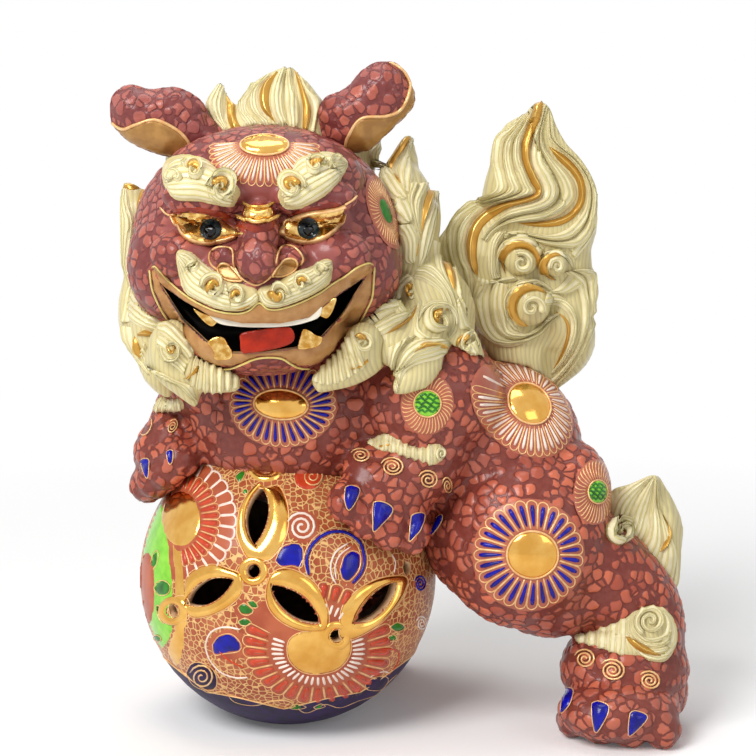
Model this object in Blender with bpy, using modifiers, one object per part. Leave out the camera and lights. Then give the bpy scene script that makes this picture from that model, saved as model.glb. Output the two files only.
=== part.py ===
"""A glazed ceramic guardian lion with both forepaws on an openwork ball.

The driving sizes below are in millimetres, and the model is made in metres.
+X points to the lion's tail side, its face looks to -Y, and +Z is up. Left and
right are the lion's own, so its left ear is the one at +X.
The lion is made as its maker does it: each cast is shaped alone, then trimmed
by the casts that it is luted to, with a thin joint between them.
"""

import math

import bmesh
import bpy
from mathutils import Matrix, Vector
from mathutils.bvhtree import BVHTree

MM = 0.001
JOINT = 0.3

# Ball
BALL_RADIUS = 66.0
BALL_WALL = 4.5
BALL_FOOT_RADIUS = 17.0
BALL_X = -50.0
BALL_Y = 10.0
SLOT_LENGTH = 27.0
SLOT_WIDTH = 9.5
HUB_HOLE_RADIUS = 2.8
BALL_SEGMENTS = 32

# Azimuth and elevation, in degrees, of the bosses between the ball's piercings
HUB_ANGLES = {
    "middle": (-10.5, 15.8),
    "top": (-13.0, 58.6),
    "low": (20.8, -9.3),
    "outer": (-45.9, -3.5),
    "inner": (55.1, 11.1),
}
SLOTS = (("middle", "top"), ("middle", "low"), ("middle", "outer"), ("low", "inner"))

# Torso, the shoulders and rump placed from the chest
TORSO_DEPTH = 78.0
CHEST_WIDTH = 100.0
CHEST_X = -45.0
CHEST_Y = 8.0
CHEST_Z = 138.0
SHOULDER_BACK = 43.0
SHOULDER_RISE = 6.0
RUMP_BACK = 89.0
RUMP_DROP = 16.0
RUMP_RADIUS = 37.0
VENT_RADIUS = 3.5

# Hind legs
LEG_SPREAD = 24.0
THIGH_DROP = 36.0
THIGH_WIDTH = 76.0
THIGH_HEIGHT = 80.0
SHIN_RADIUS = 23.0
HIND_PAW_WIDTH = 58.0
HIND_PAW_LENGTH = 62.0
HIND_PAW_HEIGHT = 40.0
HIND_PAW_X = 98.0
HIND_PAW_Y = -14.0
FAR_PAW_X = -20.0
FAR_PAW_Y = 68.0

# Forelegs
SHOULDER_RADIUS = 30.0
ARM_RADIUS = 19.0
FORE_PAW_WIDTH = 50.0
FORE_PAW_LENGTH = 46.0
FORE_PAW_HEIGHT = 30.0
TOE_RADIUS = 8.0
CLAW_LENGTH = 13.0
CLAW_WIDTH = 7.5

# Head, placed from the chest
HEAD_AHEAD = 12.0
HEAD_FORWARD = 22.0
HEAD_RISE = 80.0
HEAD_WIDTH = 114.0
HEAD_HEIGHT = 96.0
HEAD_DEPTH = 88.0
SNOUT_REACH = 60.0
MOUTH_WIDTH = 93.0
MOUTH_DIP = 22.5
MOUTH_OPENING = 12.5
MOUTH_CORNER_DROP = 8.5
MOUTH_DEPTH = 36.0
JAW_LENGTH = 42.0
EYE_SPREAD = 20.0
EYE_LIFT = 6.5
EYE_WIDTH = 27.0
EYE_HEIGHT = 15.0
NOSE_WIDTH = 18.0
FANG_LENGTH = 9.0
FANG_SPREAD = 23.0
TONGUE_WIDTH = 22.0
EAR_RADIUS = 11.0
EAR_ROOT_SPREAD = 32.0

# Hair
BROW_HEIGHT = 18.0
TUFT_HEIGHT = 29.0
CURL_RADIUS = 8.5
CURL_DEPTH = 7.0

# Tail, placed from the rump
TAIL_BACK = 14.0
TAIL_BEHIND = 21.0
TAIL_RISE = 34.0
TAIL_HEIGHT = 117.0
TAIL_DEPTH = 34.0

# Colours
MAROON = (0.30, 0.07, 0.06)
CREAM = (0.80, 0.72, 0.46)
GOLD = (0.70, 0.42, 0.12)
TAN = (0.56, 0.33, 0.15)
RED = (0.60, 0.07, 0.02)
WHITE = (0.85, 0.80, 0.68)
TERRACOTTA = (0.48, 0.18, 0.08)

# Grain of the shaped surfaces
COARSE = 2.6
MEDIUM = 1.9
FINE = 1.3

BALL_Z = math.sqrt(BALL_RADIUS**2 - BALL_FOOT_RADIUS**2)
BALL = Vector((BALL_X, BALL_Y, BALL_Z))
PAW_LIFT = BALL_RADIUS + FORE_PAW_HEIGHT * 0.42
LEFT_OUTWARD = Vector((0.575, -0.555, 0.617)).normalized()
LEFT_FORE_FOOT = BALL + LEFT_OUTWARD * PAW_LIFT
RIGHT_OUTWARD = Vector((-0.69, -0.05, 0.72)).normalized()
RIGHT_FORE_FOOT = BALL + RIGHT_OUTWARD * PAW_LIFT
CHEST = Vector((CHEST_X, CHEST_Y, CHEST_Z))
SHOULDER = CHEST + Vector((SHOULDER_BACK, 1, SHOULDER_RISE))
RUMP = CHEST + Vector((RUMP_BACK, 2, -RUMP_DROP))
LEFT_HIND_FOOT = Vector((HIND_PAW_X, HIND_PAW_Y, HIND_PAW_HEIGHT * 0.42))
RIGHT_HIND_FOOT = Vector((FAR_PAW_X, FAR_PAW_Y, HIND_PAW_HEIGHT * 0.42))
HEAD = CHEST + Vector((-HEAD_AHEAD, -HEAD_FORWARD, HEAD_RISE))
CROWN = HEAD + Vector((0, 0, HEAD_HEIGHT / 2))
MOUTH_FRONT = HEAD.y - SNOUT_REACH
JAW_SEAT_Y = MOUTH_FRONT + JAW_LENGTH
TAIL_ROOT = RUMP + Vector((TAIL_BACK, TAIL_BEHIND, TAIL_RISE))

lion = bpy.data.collections.new("guardian_lion")


def smooth_route(points, steps):
    """Points along a Catmull-Rom curve through the given ones, of any size."""
    ends = [2 * points[0] - points[1], *points, 2 * points[-1] - points[-2]]
    route = []
    for a, b, c, d in zip(ends, ends[1:], ends[2:], ends[3:]):
        for step in range(steps):
            t = step / steps
            route.append(
                b + 0.5 * t * (c - a + t * (2 * a - 5 * b + 4 * c - d + t * (3 * b - a - 3 * c + d)))
            )
    return [*route, points[-1]]


def loose(name, mesh):
    thing = bpy.data.objects.new(name, mesh)
    bpy.context.scene.collection.objects.link(thing)
    return thing


def discard(thing):
    bpy.data.objects.remove(thing, do_unlink=True)


def baked(thing):
    """Replaces the object's mesh with what its modifiers make of it."""
    bpy.context.view_layer.update()
    shape = thing.evaluated_get(bpy.context.evaluated_depsgraph_get())
    mesh = bpy.data.meshes.new_from_object(shape)
    thing.modifiers.clear()
    thing.data = mesh
    return thing


def blob(centre, radii, lean=0.0):
    """An ellipsoid, its top leaning towards +X by an angle in degrees."""
    bpy.ops.mesh.primitive_uv_sphere_add(segments=24, ring_count=14, radius=MM)
    form = bpy.context.object
    lean_turn = Matrix.Rotation(math.radians(lean), 4, "Y")
    place = Matrix.Translation(MM * Vector(centre))
    form.data.transform(place @ lean_turn @ Matrix.Diagonal((*radii, 1)))
    return form


def lock(points, radii, depth=1.0):
    """A tapering bar along a smooth route, its depth along Y a share of its width."""
    stations = [Vector((*p, r)) for p, r in zip(points, radii)]
    route = smooth_route(stations, 5)
    curve = bpy.data.curves.new("lock", "CURVE")
    curve.dimensions = "3D"
    curve.bevel_depth = MM
    curve.bevel_resolution = 2
    curve.use_fill_caps = True
    spline = curve.splines.new("POLY")
    spline.points.add(len(route) - 1)
    for point, (x, y, z, radius) in zip(spline.points, route):
        point.co = (x * MM, y * MM / depth, z * MM, 1)
        point.radius = max(radius, 0.6)
    bar = loose("bar", curve)
    bpy.context.view_layer.update()
    mesh = bpy.data.meshes.new_from_object(bar.evaluated_get(bpy.context.evaluated_depsgraph_get()))
    discard(bar)
    mesh.transform(Matrix.Diagonal((1, depth, 1, 1)))
    return loose("lock", mesh)


def prism(outline, near, far):
    """A solid with an outline in X and Z, running from one Y to another."""
    curve = bpy.data.curves.new("prism", "CURVE")
    curve.dimensions = "2D"
    curve.fill_mode = "BOTH"
    curve.extrude = abs(far - near) / 2 * MM
    spline = curve.splines.new("POLY")
    spline.points.add(len(outline) - 1)
    spline.use_cyclic_u = True
    for point, (x, z) in zip(spline.points, outline):
        point.co = (x * MM, z * MM, 0, 1)
    plate = loose("plate", curve)
    bpy.context.view_layer.update()
    mesh = bpy.data.meshes.new_from_object(plate.evaluated_get(bpy.context.evaluated_depsgraph_get()))
    discard(plate)
    upright = Matrix.Rotation(math.radians(90), 4, "X")
    mesh.transform(Matrix.Translation((0, (near + far) / 2 * MM, 0)) @ upright)
    solid = bmesh.new()
    solid.from_mesh(mesh)
    bmesh.ops.remove_doubles(solid, verts=solid.verts, dist=0.01 * MM)
    bmesh.ops.recalc_face_normals(solid, faces=solid.faces)
    solid.to_mesh(mesh)
    solid.free()
    return loose("prism", mesh)


def largest_part(mesh):
    """Drops every loose scrap of a mesh but the one with the most faces."""
    solid = bmesh.new()
    solid.from_mesh(mesh)
    unseen = set(solid.verts)
    parts = []
    while unseen:
        found = {unseen.pop()}
        edge_of_part = list(found)
        while edge_of_part:
            vertex = edge_of_part.pop()
            for edge in vertex.link_edges:
                other = edge.other_vert(vertex)
                if other in unseen:
                    unseen.remove(other)
                    found.add(other)
                    edge_of_part.append(other)
        parts.append(found)
    parts.sort(key=len)
    for scrap in parts[:-1]:
        bmesh.ops.delete(solid, geom=list(scrap), context="VERTS")
    bmesh.ops.recalc_face_normals(solid, faces=solid.faces)
    solid.to_mesh(mesh)
    solid.free()


def joined(forms):
    """One mesh that holds every form, which may still cross each other."""
    solid = bmesh.new()
    for form in forms:
        solid.from_mesh(form.data)
        discard(form)
    bmesh.ops.remove_doubles(solid, verts=solid.verts, dist=0.001 * MM)
    mesh = bpy.data.meshes.new("forms")
    solid.to_mesh(mesh)
    solid.free()
    return mesh


def cast(name, forms, grain, triangles, smoothing=3):
    """Melts overlapping forms into one smooth closed body of about so many triangles."""
    body = loose(name, joined(forms))
    skin = body.modifiers.new("skin", "REMESH")
    skin.mode = "VOXEL"
    skin.voxel_size = grain * MM
    smooth = body.modifiers.new("smooth", "SMOOTH")
    smooth.factor = 0.5
    smooth.iterations = smoothing
    baked(body)
    largest_part(body.data)
    thin = body.modifiers.new("thin", "DECIMATE")
    thin.ratio = min(1.0, triangles / (2 * len(body.data.polygons)))
    thin.use_collapse_triangulate = True
    return baked(body)


def grown(thing, by=JOINT):
    """A copy of a body, its surface moved outwards."""
    copy = loose("grown", thing.data.copy())
    offsets = [vertex.normal * by * MM for vertex in copy.data.vertices]
    for vertex, offset in zip(copy.data.vertices, offsets):
        vertex.co += offset
    return copy


def volume_of(mesh):
    """A mesh's volume, or nothing where an edge of it doesn't join two faces."""
    solid = bmesh.new()
    solid.from_mesh(mesh)
    closed = bool(solid.faces) and all(edge.is_manifold for edge in solid.edges)
    volume = solid.calc_volume() if closed else 0.0
    solid.free()
    return volume


def combined(body, tool, operation, solvers=("EXACT", "MANIFOLD")):
    """Cuts with the exact solver, and with the manifold one where that fails or cuts nothing."""
    whole = body.data
    volume = volume_of(whole)
    for solver in solvers:
        body.data = whole
        cut = body.modifiers.new("cut", "BOOLEAN")
        cut.operation = operation
        cut.solver = solver
        cut.object = tool
        baked(body)
        if 0 < volume_of(body.data) < volume:
            break
    discard(tool)
    return body


def skin_tree(thing):
    mesh = thing.data
    return BVHTree.FromPolygons([v.co for v in mesh.vertices], [tuple(f.vertices) for f in mesh.polygons])


def seated(body):
    """Trims a body by each cast laid before it that it reaches, and keeps its main part."""
    for carrier in list(lion.objects):
        guard = grown(carrier)
        if carrier.name == "ball":
            discard(guard)
            guard = sphere(BALL_RADIUS + JOINT, BALL_SEGMENTS)
        if not skin_tree(body).overlap(skin_tree(guard)):
            discard(guard)
            continue
        whole = body.data
        combined(body, guard, "DIFFERENCE")
        if skin_tree(body).overlap(skin_tree(carrier)):
            body.data = whole
            combined(body, grown(carrier), "DIFFERENCE", ("MANIFOLD",))
    largest_part(body.data)
    return body


def resting(body, points, proud=0.0):
    """The nearest points on a body's surface, raised off it."""
    found = []
    for point in points:
        _, place, normal, _ = body.closest_point_on_mesh(MM * Vector(point))
        found.append(place / MM + normal * proud)
    return found


def soled(body):
    """Cuts a body flat at the floor."""
    bpy.ops.mesh.primitive_cube_add(size=1.0, location=(0, 0, -0.5))
    floor = bpy.context.object
    return combined(body, floor, "DIFFERENCE")


def finished(body, colour, roughness=0.3, metallic=0.0):
    glaze = bpy.data.materials.new(body.name + "_glaze")
    glaze.use_nodes = True
    shader = glaze.node_tree.nodes["Principled BSDF"]
    shader.inputs["Base Color"].default_value = (*colour, 1)
    shader.inputs["Roughness"].default_value = roughness
    shader.inputs["Metallic"].default_value = metallic
    body.data.materials.clear()
    body.data.materials.append(glaze)
    body.data.shade_smooth()
    body.data.set_sharp_from_angle(angle=math.radians(50))
    for collection in body.users_collection:
        collection.objects.unlink(body)
    lion.objects.link(body)
    return body


def direction(azimuth, elevation):
    """A unit vector, its azimuth counted from -Y towards +X, both in degrees."""
    turn, rise = math.radians(azimuth), math.radians(elevation)
    return Vector((math.sin(turn) * math.cos(rise), -math.cos(turn) * math.cos(rise), math.sin(rise)))


def slot_cutter(a, b):
    """A leaf shaped punch halfway between two hubs, pointing at the ball's middle."""
    middle = (a + b).normalized()
    along = (b - a).normalized()
    across = middle.cross(along)
    half = SLOT_LENGTH / 2
    rise = SLOT_WIDTH / 2
    arc_radius = (half**2 + rise**2) / (2 * rise)
    sweep = math.asin(half / arc_radius)
    outline = []
    for side in (1, -1):
        for step in range(5):
            angle = sweep * (1 - 2 * step / 5)
            level = arc_radius * math.cos(angle) - (arc_radius - rise)
            outline.append((side * arc_radius * math.sin(angle), side * level))
    punch = prism(outline, BALL_WALL * 3, -BALL_WALL * 3)
    turn = Matrix((along, -middle, across)).transposed().to_4x4()
    place = Matrix.Translation(MM * (BALL + middle * BALL_RADIUS))
    punch.data.transform(place @ turn)
    return punch


def hole_cutter(hub):
    bpy.ops.mesh.primitive_cylinder_add(vertices=10, radius=HUB_HOLE_RADIUS * MM, depth=6 * BALL_WALL * MM)
    drill = bpy.context.object
    turn = hub.to_track_quat("Z", "Y").to_matrix().to_4x4()
    drill.data.transform(Matrix.Translation(MM * (BALL + hub * BALL_RADIUS)) @ turn)
    return drill


def sphere(radius, segments):
    bpy.ops.mesh.primitive_uv_sphere_add(segments=segments, ring_count=segments // 2, radius=radius * MM)
    globe = bpy.context.object
    globe.data.transform(Matrix.Translation(MM * BALL))
    return globe


def make_ball():
    """A thin shell with two groups of piercings, one in front and one behind."""
    ball = soled(sphere(BALL_RADIUS, BALL_SEGMENTS))
    ball.name = "ball"
    combined(ball, sphere(BALL_RADIUS - BALL_WALL, BALL_SEGMENTS * 2 // 3), "DIFFERENCE")
    for half_turn in (0, 180):
        hubs = {name: direction(turn + half_turn, rise) for name, (turn, rise) in HUB_ANGLES.items()}
        for a, b in SLOTS:
            combined(ball, slot_cutter(hubs[a], hubs[b]), "DIFFERENCE")
        for hub in hubs.values():
            combined(ball, hole_cutter(hub), "DIFFERENCE")
    return finished(ball, TERRACOTTA)


def paw_frame(forward, top):
    """A turn whose X runs across the toes, Y to the toes' tips and Z up."""
    up = Vector(top).normalized()
    ahead = Vector(forward)
    ahead = (ahead - ahead.dot(up) * up).normalized()
    across = ahead.cross(up)
    return Matrix((across, ahead, up)).transposed()


def in_frame(forms, frame, centre):
    place = Matrix.Translation(MM * Vector(centre)) @ frame.to_4x4()
    for form in forms:
        form.data.transform(place)
    return forms


def toe_places(width, length, height):
    """Toe centres in the paw's own frame, the two inner toes reaching furthest."""
    places = []
    for column in (-1.5, -0.5, 0.5, 1.5):
        ahead = length / 2 - TOE_RADIUS - 1.6 * column**2
        places.append((column * (width / 2 - TOE_RADIUS) / 1.5, ahead, TOE_RADIUS - height * 0.42))
    return places


def paw_forms(width, length, height):
    heel = blob((0, -length * 0.08, 0), (width * 0.44, length * 0.42, height / 2))
    toes = [blob(place, (TOE_RADIUS * 1.05, TOE_RADIUS * 1.25, TOE_RADIUS * 1.1)) for place in
            toe_places(width, length, height)]
    return [heel, *toes]


def claw_forms(width, length, height):
    """Four claws, each a tapering point at the front of its toe."""
    forms = []
    for x, y, z in toe_places(width, length, height):
        root = Vector((x, y + TOE_RADIUS * 0.8, z + 1))
        tip = root + Vector((0, CLAW_LENGTH * 0.35, -CLAW_LENGTH * 0.55))
        forms.append(lock([root - Vector((0, 2, -2)), root, tip], [CLAW_WIDTH * 0.32, CLAW_WIDTH / 2, 0.8]))
    return forms


def paw(centre, frame, width, length, height):
    size = (width, length, height)
    return in_frame([*paw_forms(*size), *claw_forms(*size)], frame, centre)


def make_torso():
    """Chest, shoulders, waist and rump in one cast, with the vent under the tail."""
    deep = TORSO_DEPTH / 2
    waist = (SHOULDER + RUMP) / 2 - Vector((0, 0, 6))
    forms = [
        blob(CHEST, (CHEST_WIDTH / 2, deep + 2, 42)),
        blob(SHOULDER, (44, deep, 36)),
        blob(CHEST + Vector((0, 4, 32)), (36, 30, 30)),
        blob(waist, (40, deep - 2, 40)),
        blob(RUMP, (RUMP_RADIUS, deep - 1, RUMP_RADIUS + 1)),
    ]
    torso = cast("torso", forms, COARSE, 720)
    bpy.ops.mesh.primitive_cylinder_add(vertices=16, radius=VENT_RADIUS * MM, depth=30 * MM)
    vent = bpy.context.object
    turn = Matrix.Rotation(math.radians(70), 4, "X")
    mouth = TAIL_ROOT + Vector((0, -TAIL_BEHIND - deep + 9, 0))
    vent.data.transform(Matrix.Translation(MM * mouth) @ turn)
    combined(torso, vent, "DIFFERENCE")
    return finished(seated(torso), MAROON)


def make_left_hind_leg():
    thigh = RUMP + Vector((10, -LEG_SPREAD, -THIGH_DROP))
    foot = LEFT_HIND_FOOT
    hock = foot + Vector((3, 10, 35))
    forms = [
        blob(thigh, (THIGH_WIDTH / 2, 30, THIGH_HEIGHT / 2)),
        blob(thigh + Vector((-10, 6, 0)), (THIGH_WIDTH / 2 - 4, 26, THIGH_HEIGHT / 2 - 8)),
        lock(
            [thigh, thigh + Vector((23, 6, -8)), hock, foot + Vector((4, 4, 8))],
            [SHIN_RADIUS + 7, SHIN_RADIUS, SHIN_RADIUS, SHIN_RADIUS],
        ),
        *paw(foot, paw_frame((-0.42, -1, 0), (0, 0, 1)), HIND_PAW_WIDTH, HIND_PAW_LENGTH, HIND_PAW_HEIGHT),
    ]
    leg = soled(cast("left_hind_leg", forms, COARSE, 740, 2))
    return finished(seated(leg), MAROON)


def make_right_hind_leg():
    """The far leg stands under the belly, where the ball hides it."""
    thigh = RUMP + Vector((-8, LEG_SPREAD, 6 - THIGH_DROP))
    foot = RIGHT_HIND_FOOT
    size = (HIND_PAW_WIDTH * 0.9, HIND_PAW_LENGTH * 0.9, HIND_PAW_HEIGHT)
    forms = [
        blob(thigh, (THIGH_WIDTH / 2 - 2, 24, THIGH_HEIGHT / 2 - 4)),
        lock(
            [thigh, foot + Vector((26, -6, 49)), foot + Vector((6, 2, 18))],
            [SHIN_RADIUS + 3, SHIN_RADIUS - 4, SHIN_RADIUS - 5],
        ),
        *paw(foot, paw_frame((-1, -0.3, 0), (0, 0, 1)), *size),
    ]
    leg = soled(cast("right_hind_leg", forms, COARSE, 460, 2))
    return finished(seated(leg), MAROON)


def make_left_foreleg():
    shoulder = SHOULDER + Vector((14, -23, 6))
    foot = LEFT_FORE_FOOT
    forms = [
        blob(shoulder, (SHOULDER_RADIUS + 2, SHOULDER_RADIUS, SHOULDER_RADIUS)),
        lock(
            [shoulder, foot + Vector((14, 12, 14)), foot],
            [SHOULDER_RADIUS - 4, ARM_RADIUS + 2, ARM_RADIUS - 4],
        ),
        *paw(
            foot,
            paw_frame((-0.04, -0.82, -0.57), LEFT_OUTWARD),
            FORE_PAW_WIDTH,
            FORE_PAW_LENGTH,
            FORE_PAW_HEIGHT,
        ),
    ]
    leg = cast("left_foreleg", forms, COARSE, 560, 2)
    return finished(seated(leg), MAROON)


def make_right_foreleg():
    shoulder = CHEST + Vector((12 - CHEST_WIDTH / 2, -2, 22))
    foot = RIGHT_FORE_FOOT
    forms = [
        blob(shoulder, (SHOULDER_RADIUS - 8, SHOULDER_RADIUS - 2, SHOULDER_RADIUS - 2)),
        lock(
            [shoulder, foot + Vector((0, 6, 16)), foot],
            [SHOULDER_RADIUS - 10, ARM_RADIUS - 4, ARM_RADIUS - 5],
        ),
        *paw(
            foot,
            paw_frame((-0.46, -0.82, -0.34), RIGHT_OUTWARD),
            FORE_PAW_WIDTH * 0.86,
            FORE_PAW_LENGTH * 0.9,
            FORE_PAW_HEIGHT,
        ),
    ]
    leg = cast("right_foreleg", forms, COARSE, 440, 2)
    return finished(seated(leg), MAROON)


def head_ellipsoids():
    """Centre and radii of each swelling of the head."""
    wide, deep, high = HEAD_WIDTH / 2, HEAD_DEPTH / 2, HEAD_HEIGHT / 2
    return [
        (HEAD, (wide, deep, high)),
        (HEAD + Vector((0, -18, 26)), (wide - 14, deep - 16, high - 26)),
        (HEAD + Vector((0, 26 - SNOUT_REACH, -18)), (wide - 18, 26, 24)),
        (HEAD + Vector((wide - 21, -14, -10)), (22, 24, 26)),
        (HEAD + Vector((21 - wide, -14, -10)), (22, 24, 26)),
        (HEAD + Vector((0, 34 - SNOUT_REACH, -37)), (wide - 23, 26, 18)),
    ]


def on_face(u, w, proud=0.0):
    """The point of the face's front that lies u across and w above its middle."""
    front = HEAD.y
    for centre, (wide, deep, high) in head_ellipsoids():
        rest = 1 - ((HEAD.x + u - centre.x) / wide) ** 2 - ((HEAD.z + w - centre.z) / high) ** 2
        if rest > 0:
            front = min(front, centre.y - deep * math.sqrt(rest))
    return Vector((HEAD.x + u, front - proud, HEAD.z + w))


def mouth_level(u, dip):
    """Height above the head's middle of a smile whose middle dips, u across it."""
    return -MOUTH_CORNER_DROP - dip * (1 - abs(u * 2 / MOUTH_WIDTH) ** 2.2)


def mouth_line(dip):
    """A smiling line from corner to corner, its middle lower by the dip."""
    line = []
    half = MOUTH_WIDTH / 2
    for step in range(17):
        u = half * (step / 8 - 1)
        line.append((HEAD.x + u, HEAD.z + mouth_level(u, dip)))
    return line


def mouth_cutter():
    upper = mouth_line(MOUTH_DIP)
    lower = mouth_line(MOUTH_DIP + MOUTH_OPENING)
    return prism([*upper, *reversed(lower[1:-1])], HEAD.y - HEAD_DEPTH, MOUTH_FRONT + MOUTH_DEPTH)


def jaw_region():
    """Everything below the middle of the open mouth, back to the jaw's seat."""
    line = mouth_line(MOUTH_DIP + MOUTH_OPENING / 2)
    left, right = line[0][0], line[-1][0]
    floor = HEAD.z - HEAD_HEIGHT
    return prism([*line, (right, floor), (left, floor)], HEAD.y - HEAD_DEPTH, JAW_SEAT_Y)


def head_form(name, triangles):
    return cast(name, [blob(centre, radii) for centre, radii in head_ellipsoids()], MEDIUM, triangles, 6)


def make_head():
    head = head_form("head", 780)
    region = jaw_region()
    combined(head, grown(region, JOINT * math.sqrt(2)), "DIFFERENCE")
    discard(region)
    combined(head, mouth_cutter(), "DIFFERENCE")
    return finished(seated(head), MAROON)


def make_lower_jaw():
    jaw = head_form("lower_jaw", 780)
    combined(jaw, jaw_region(), "INTERSECT")
    combined(jaw, mouth_cutter(), "DIFFERENCE")
    return finished(seated(jaw), TAN)


def make_ear(name, side, reach, lift):
    """A drooping scoop, hollowed on its lower face."""
    places = [(0, 4, -8), (6, 1, 3), (18 + reach / 2, -3, 7 + lift), (24 + reach, -5, 6 + lift)]
    root = CROWN + Vector((side * EAR_ROOT_SPREAD, 0, 0))
    route = [root + Vector((side * u, v, w)) for u, v, w in places]
    lobe = root + Vector((side * (20 + reach), -6, lift - 3))
    forms = [
        lock(route, [EAR_RADIUS, EAR_RADIUS, EAR_RADIUS, EAR_RADIUS - 3], 0.8),
        blob(lobe, (EAR_RADIUS - 1, EAR_RADIUS - 4, EAR_RADIUS - 2)),
    ]
    ear = cast(name, forms, FINE, 150)
    hollow = lobe + Vector((side * 3, -EAR_RADIUS, -1))
    combined(ear, blob(hollow, (EAR_RADIUS, EAR_RADIUS - 2, EAR_RADIUS - 4), side * -30), "DIFFERENCE")
    return finished(seated(ear), MAROON)


def make_eye(name, side):
    centre = on_face(side * EYE_SPREAD, EYE_LIFT, -2.5)
    eye = cast(name, [blob(centre, (EYE_WIDTH / 2, 8, EYE_HEIGHT / 2), side * -12)], FINE, 130, 1)
    return finished(seated(eye), GOLD, 0.15, 1.0)


def make_brow(name, side):
    """A bushy brow with two curls at its inner end."""
    points = [on_face(side * u, w, 1) for u, w in ((38, 28), (30, 30), (20, 29), (12, 25))]
    curls = [on_face(side * u, w, 3) for u, w in ((14.5, 25), (24, 33))]
    forms = [
        lock(points, [4, BROW_HEIGHT / 2, BROW_HEIGHT / 2, 6], 0.7),
        *[blob(curl, (6, 5, 6)) for curl in curls],
    ]
    brow = cast(name, forms, FINE, 140)
    return finished(seated(brow), CREAM)


def make_moustache(name, side):
    """A lock along the upper lip with two curls at its inner end."""
    points = [on_face(side * u, w, 1) for u, w in ((34, -2), (27, -9), (17, -15), (7, -17))]
    curls = [on_face(side * u, w, 3) for u, w in ((16, -15), (7, -19))]
    forms = [
        lock(points, [3, 7.5, 8, 5], 0.75),
        *[blob(curl, (5.5, 5, 5.5)) for curl in curls],
    ]
    moustache = cast(name, forms, FINE, 150)
    combined(moustache, mouth_cutter(), "DIFFERENCE")
    return finished(seated(moustache), CREAM)


def make_nose():
    tip = on_face(0, -3, 4)
    forms = [
        blob(tip, (NOSE_WIDTH / 2, 9, 9.5)),
        blob(tip + Vector((0, 5, 9)), (NOSE_WIDTH / 3, 8, 10)),
        blob(tip + Vector((14.5, 7, 1)), (5.5, 6, 5)),
        blob(tip + Vector((-14.5, 7, 1)), (5.5, 6, 5)),
        blob(tip + Vector((8, 7, 0)), (8, 6, 4)),
        blob(tip + Vector((-8, 7, 0)), (8, 6, 4)),
    ]
    return finished(seated(cast("nose", forms, FINE, 180)), MAROON)


def make_bridge_ring():
    middle = on_face(0, 20, 0)
    bar = lock([middle + Vector((-5.5, 0, 0)), middle, middle + Vector((5.5, 0, 0))], [3.2, 2.6, 3.2])
    return finished(seated(cast("bridge_ring", [bar], 0.8, 80, 1)), GOLD, 0.15, 1.0)


def make_upper_teeth():
    """A curved band of front teeth hung inside the upper lip."""
    line = mouth_line(MOUTH_DIP)[5:12]
    outline = [*[(x, z + 4) for x, z in line], *[(x, z - 2) for x, z in reversed(line)]]
    teeth = prism(outline, MOUTH_FRONT + 7, MOUTH_FRONT + 12)
    teeth.name = "upper_teeth"
    return finished(seated(teeth), WHITE)


def make_fang(name, side, upward):
    spread = side * FANG_SPREAD
    level = mouth_level(spread, MOUTH_DIP + (MOUTH_OPENING if upward else 0))
    way = 1 if upward else -1
    root = on_face(spread, level, -5) - Vector((0, 0, way * 3))
    tip = root + Vector((0, 0, way * FANG_LENGTH))
    fang = cast(name, [lock([root, (root + tip) / 2, tip], [3.8, 3.2, 1.2])], 0.7, 60, 1)
    return finished(seated(fang), GOLD, 0.15, 1.0)


def make_tongue():
    """A slab that rises from the jaw's floor and ends over the lower lip."""
    level = HEAD.z + mouth_level(0, MOUTH_DIP + MOUTH_OPENING)
    lip = Vector((HEAD.x + 4, MOUTH_FRONT, level))
    points = [lip + Vector((0, behind, up)) for behind, up in ((MOUTH_DEPTH - 6, 4), (18, 6), (7, 2))]
    slab = lock(points, [TONGUE_WIDTH / 2, TONGUE_WIDTH / 2, TONGUE_WIDTH / 2 - 3])
    squeeze = Matrix.Diagonal((1, 1, 0.42, 1))
    middle = Matrix.Translation(MM * Vector((0, 0, level + 4)))
    slab.data.transform(middle @ squeeze @ middle.inverted())
    return finished(seated(cast("tongue", [slab], FINE, 110)), RED)


def fan(root, tips, radius, depth=0.8):
    """Flame locks that leave one root and bend upwards into points."""
    forms = []
    for tip, bow in tips:
        middle = (root + tip) / 2 + Vector(bow)
        forms.append(lock([root, middle, tip], [radius, radius * 0.75, 0.8], depth))
    return forms


def make_crown_tuft():
    """Two flames between the ears, the taller one towards the left ear."""
    base = CROWN + Vector((0, HEAD_DEPTH * 0.18, -7))

    def flame(stations, radii, depth=0.8):
        return lock([base + Vector((u, v, w * TUFT_HEIGHT)) for u, v, w in stations], radii, depth)

    forms = [
        blob(base, (27, 12, 10)),
        flame([(-15, 2, 0), (-21, 4, 0.45), (-20, 8, 0.83)], [10, 7, 1]),
        flame([(5, 2, 0), (1, 6, 0.52), (9, 10, 1.07)], [17, 13, 1], 0.7),
        flame([(15, 2, 0), (15, 6, 0.48), (9, 10, 1.07)], [11, 9, 1]),
        flame([(22, 2, -0.07), (27, 6, 0.28), (32, 10, 0.52)], [9, 7, 1]),
    ]
    return finished(seated(cast("crown_tuft", forms, MEDIUM, 340)), CREAM)


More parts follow.
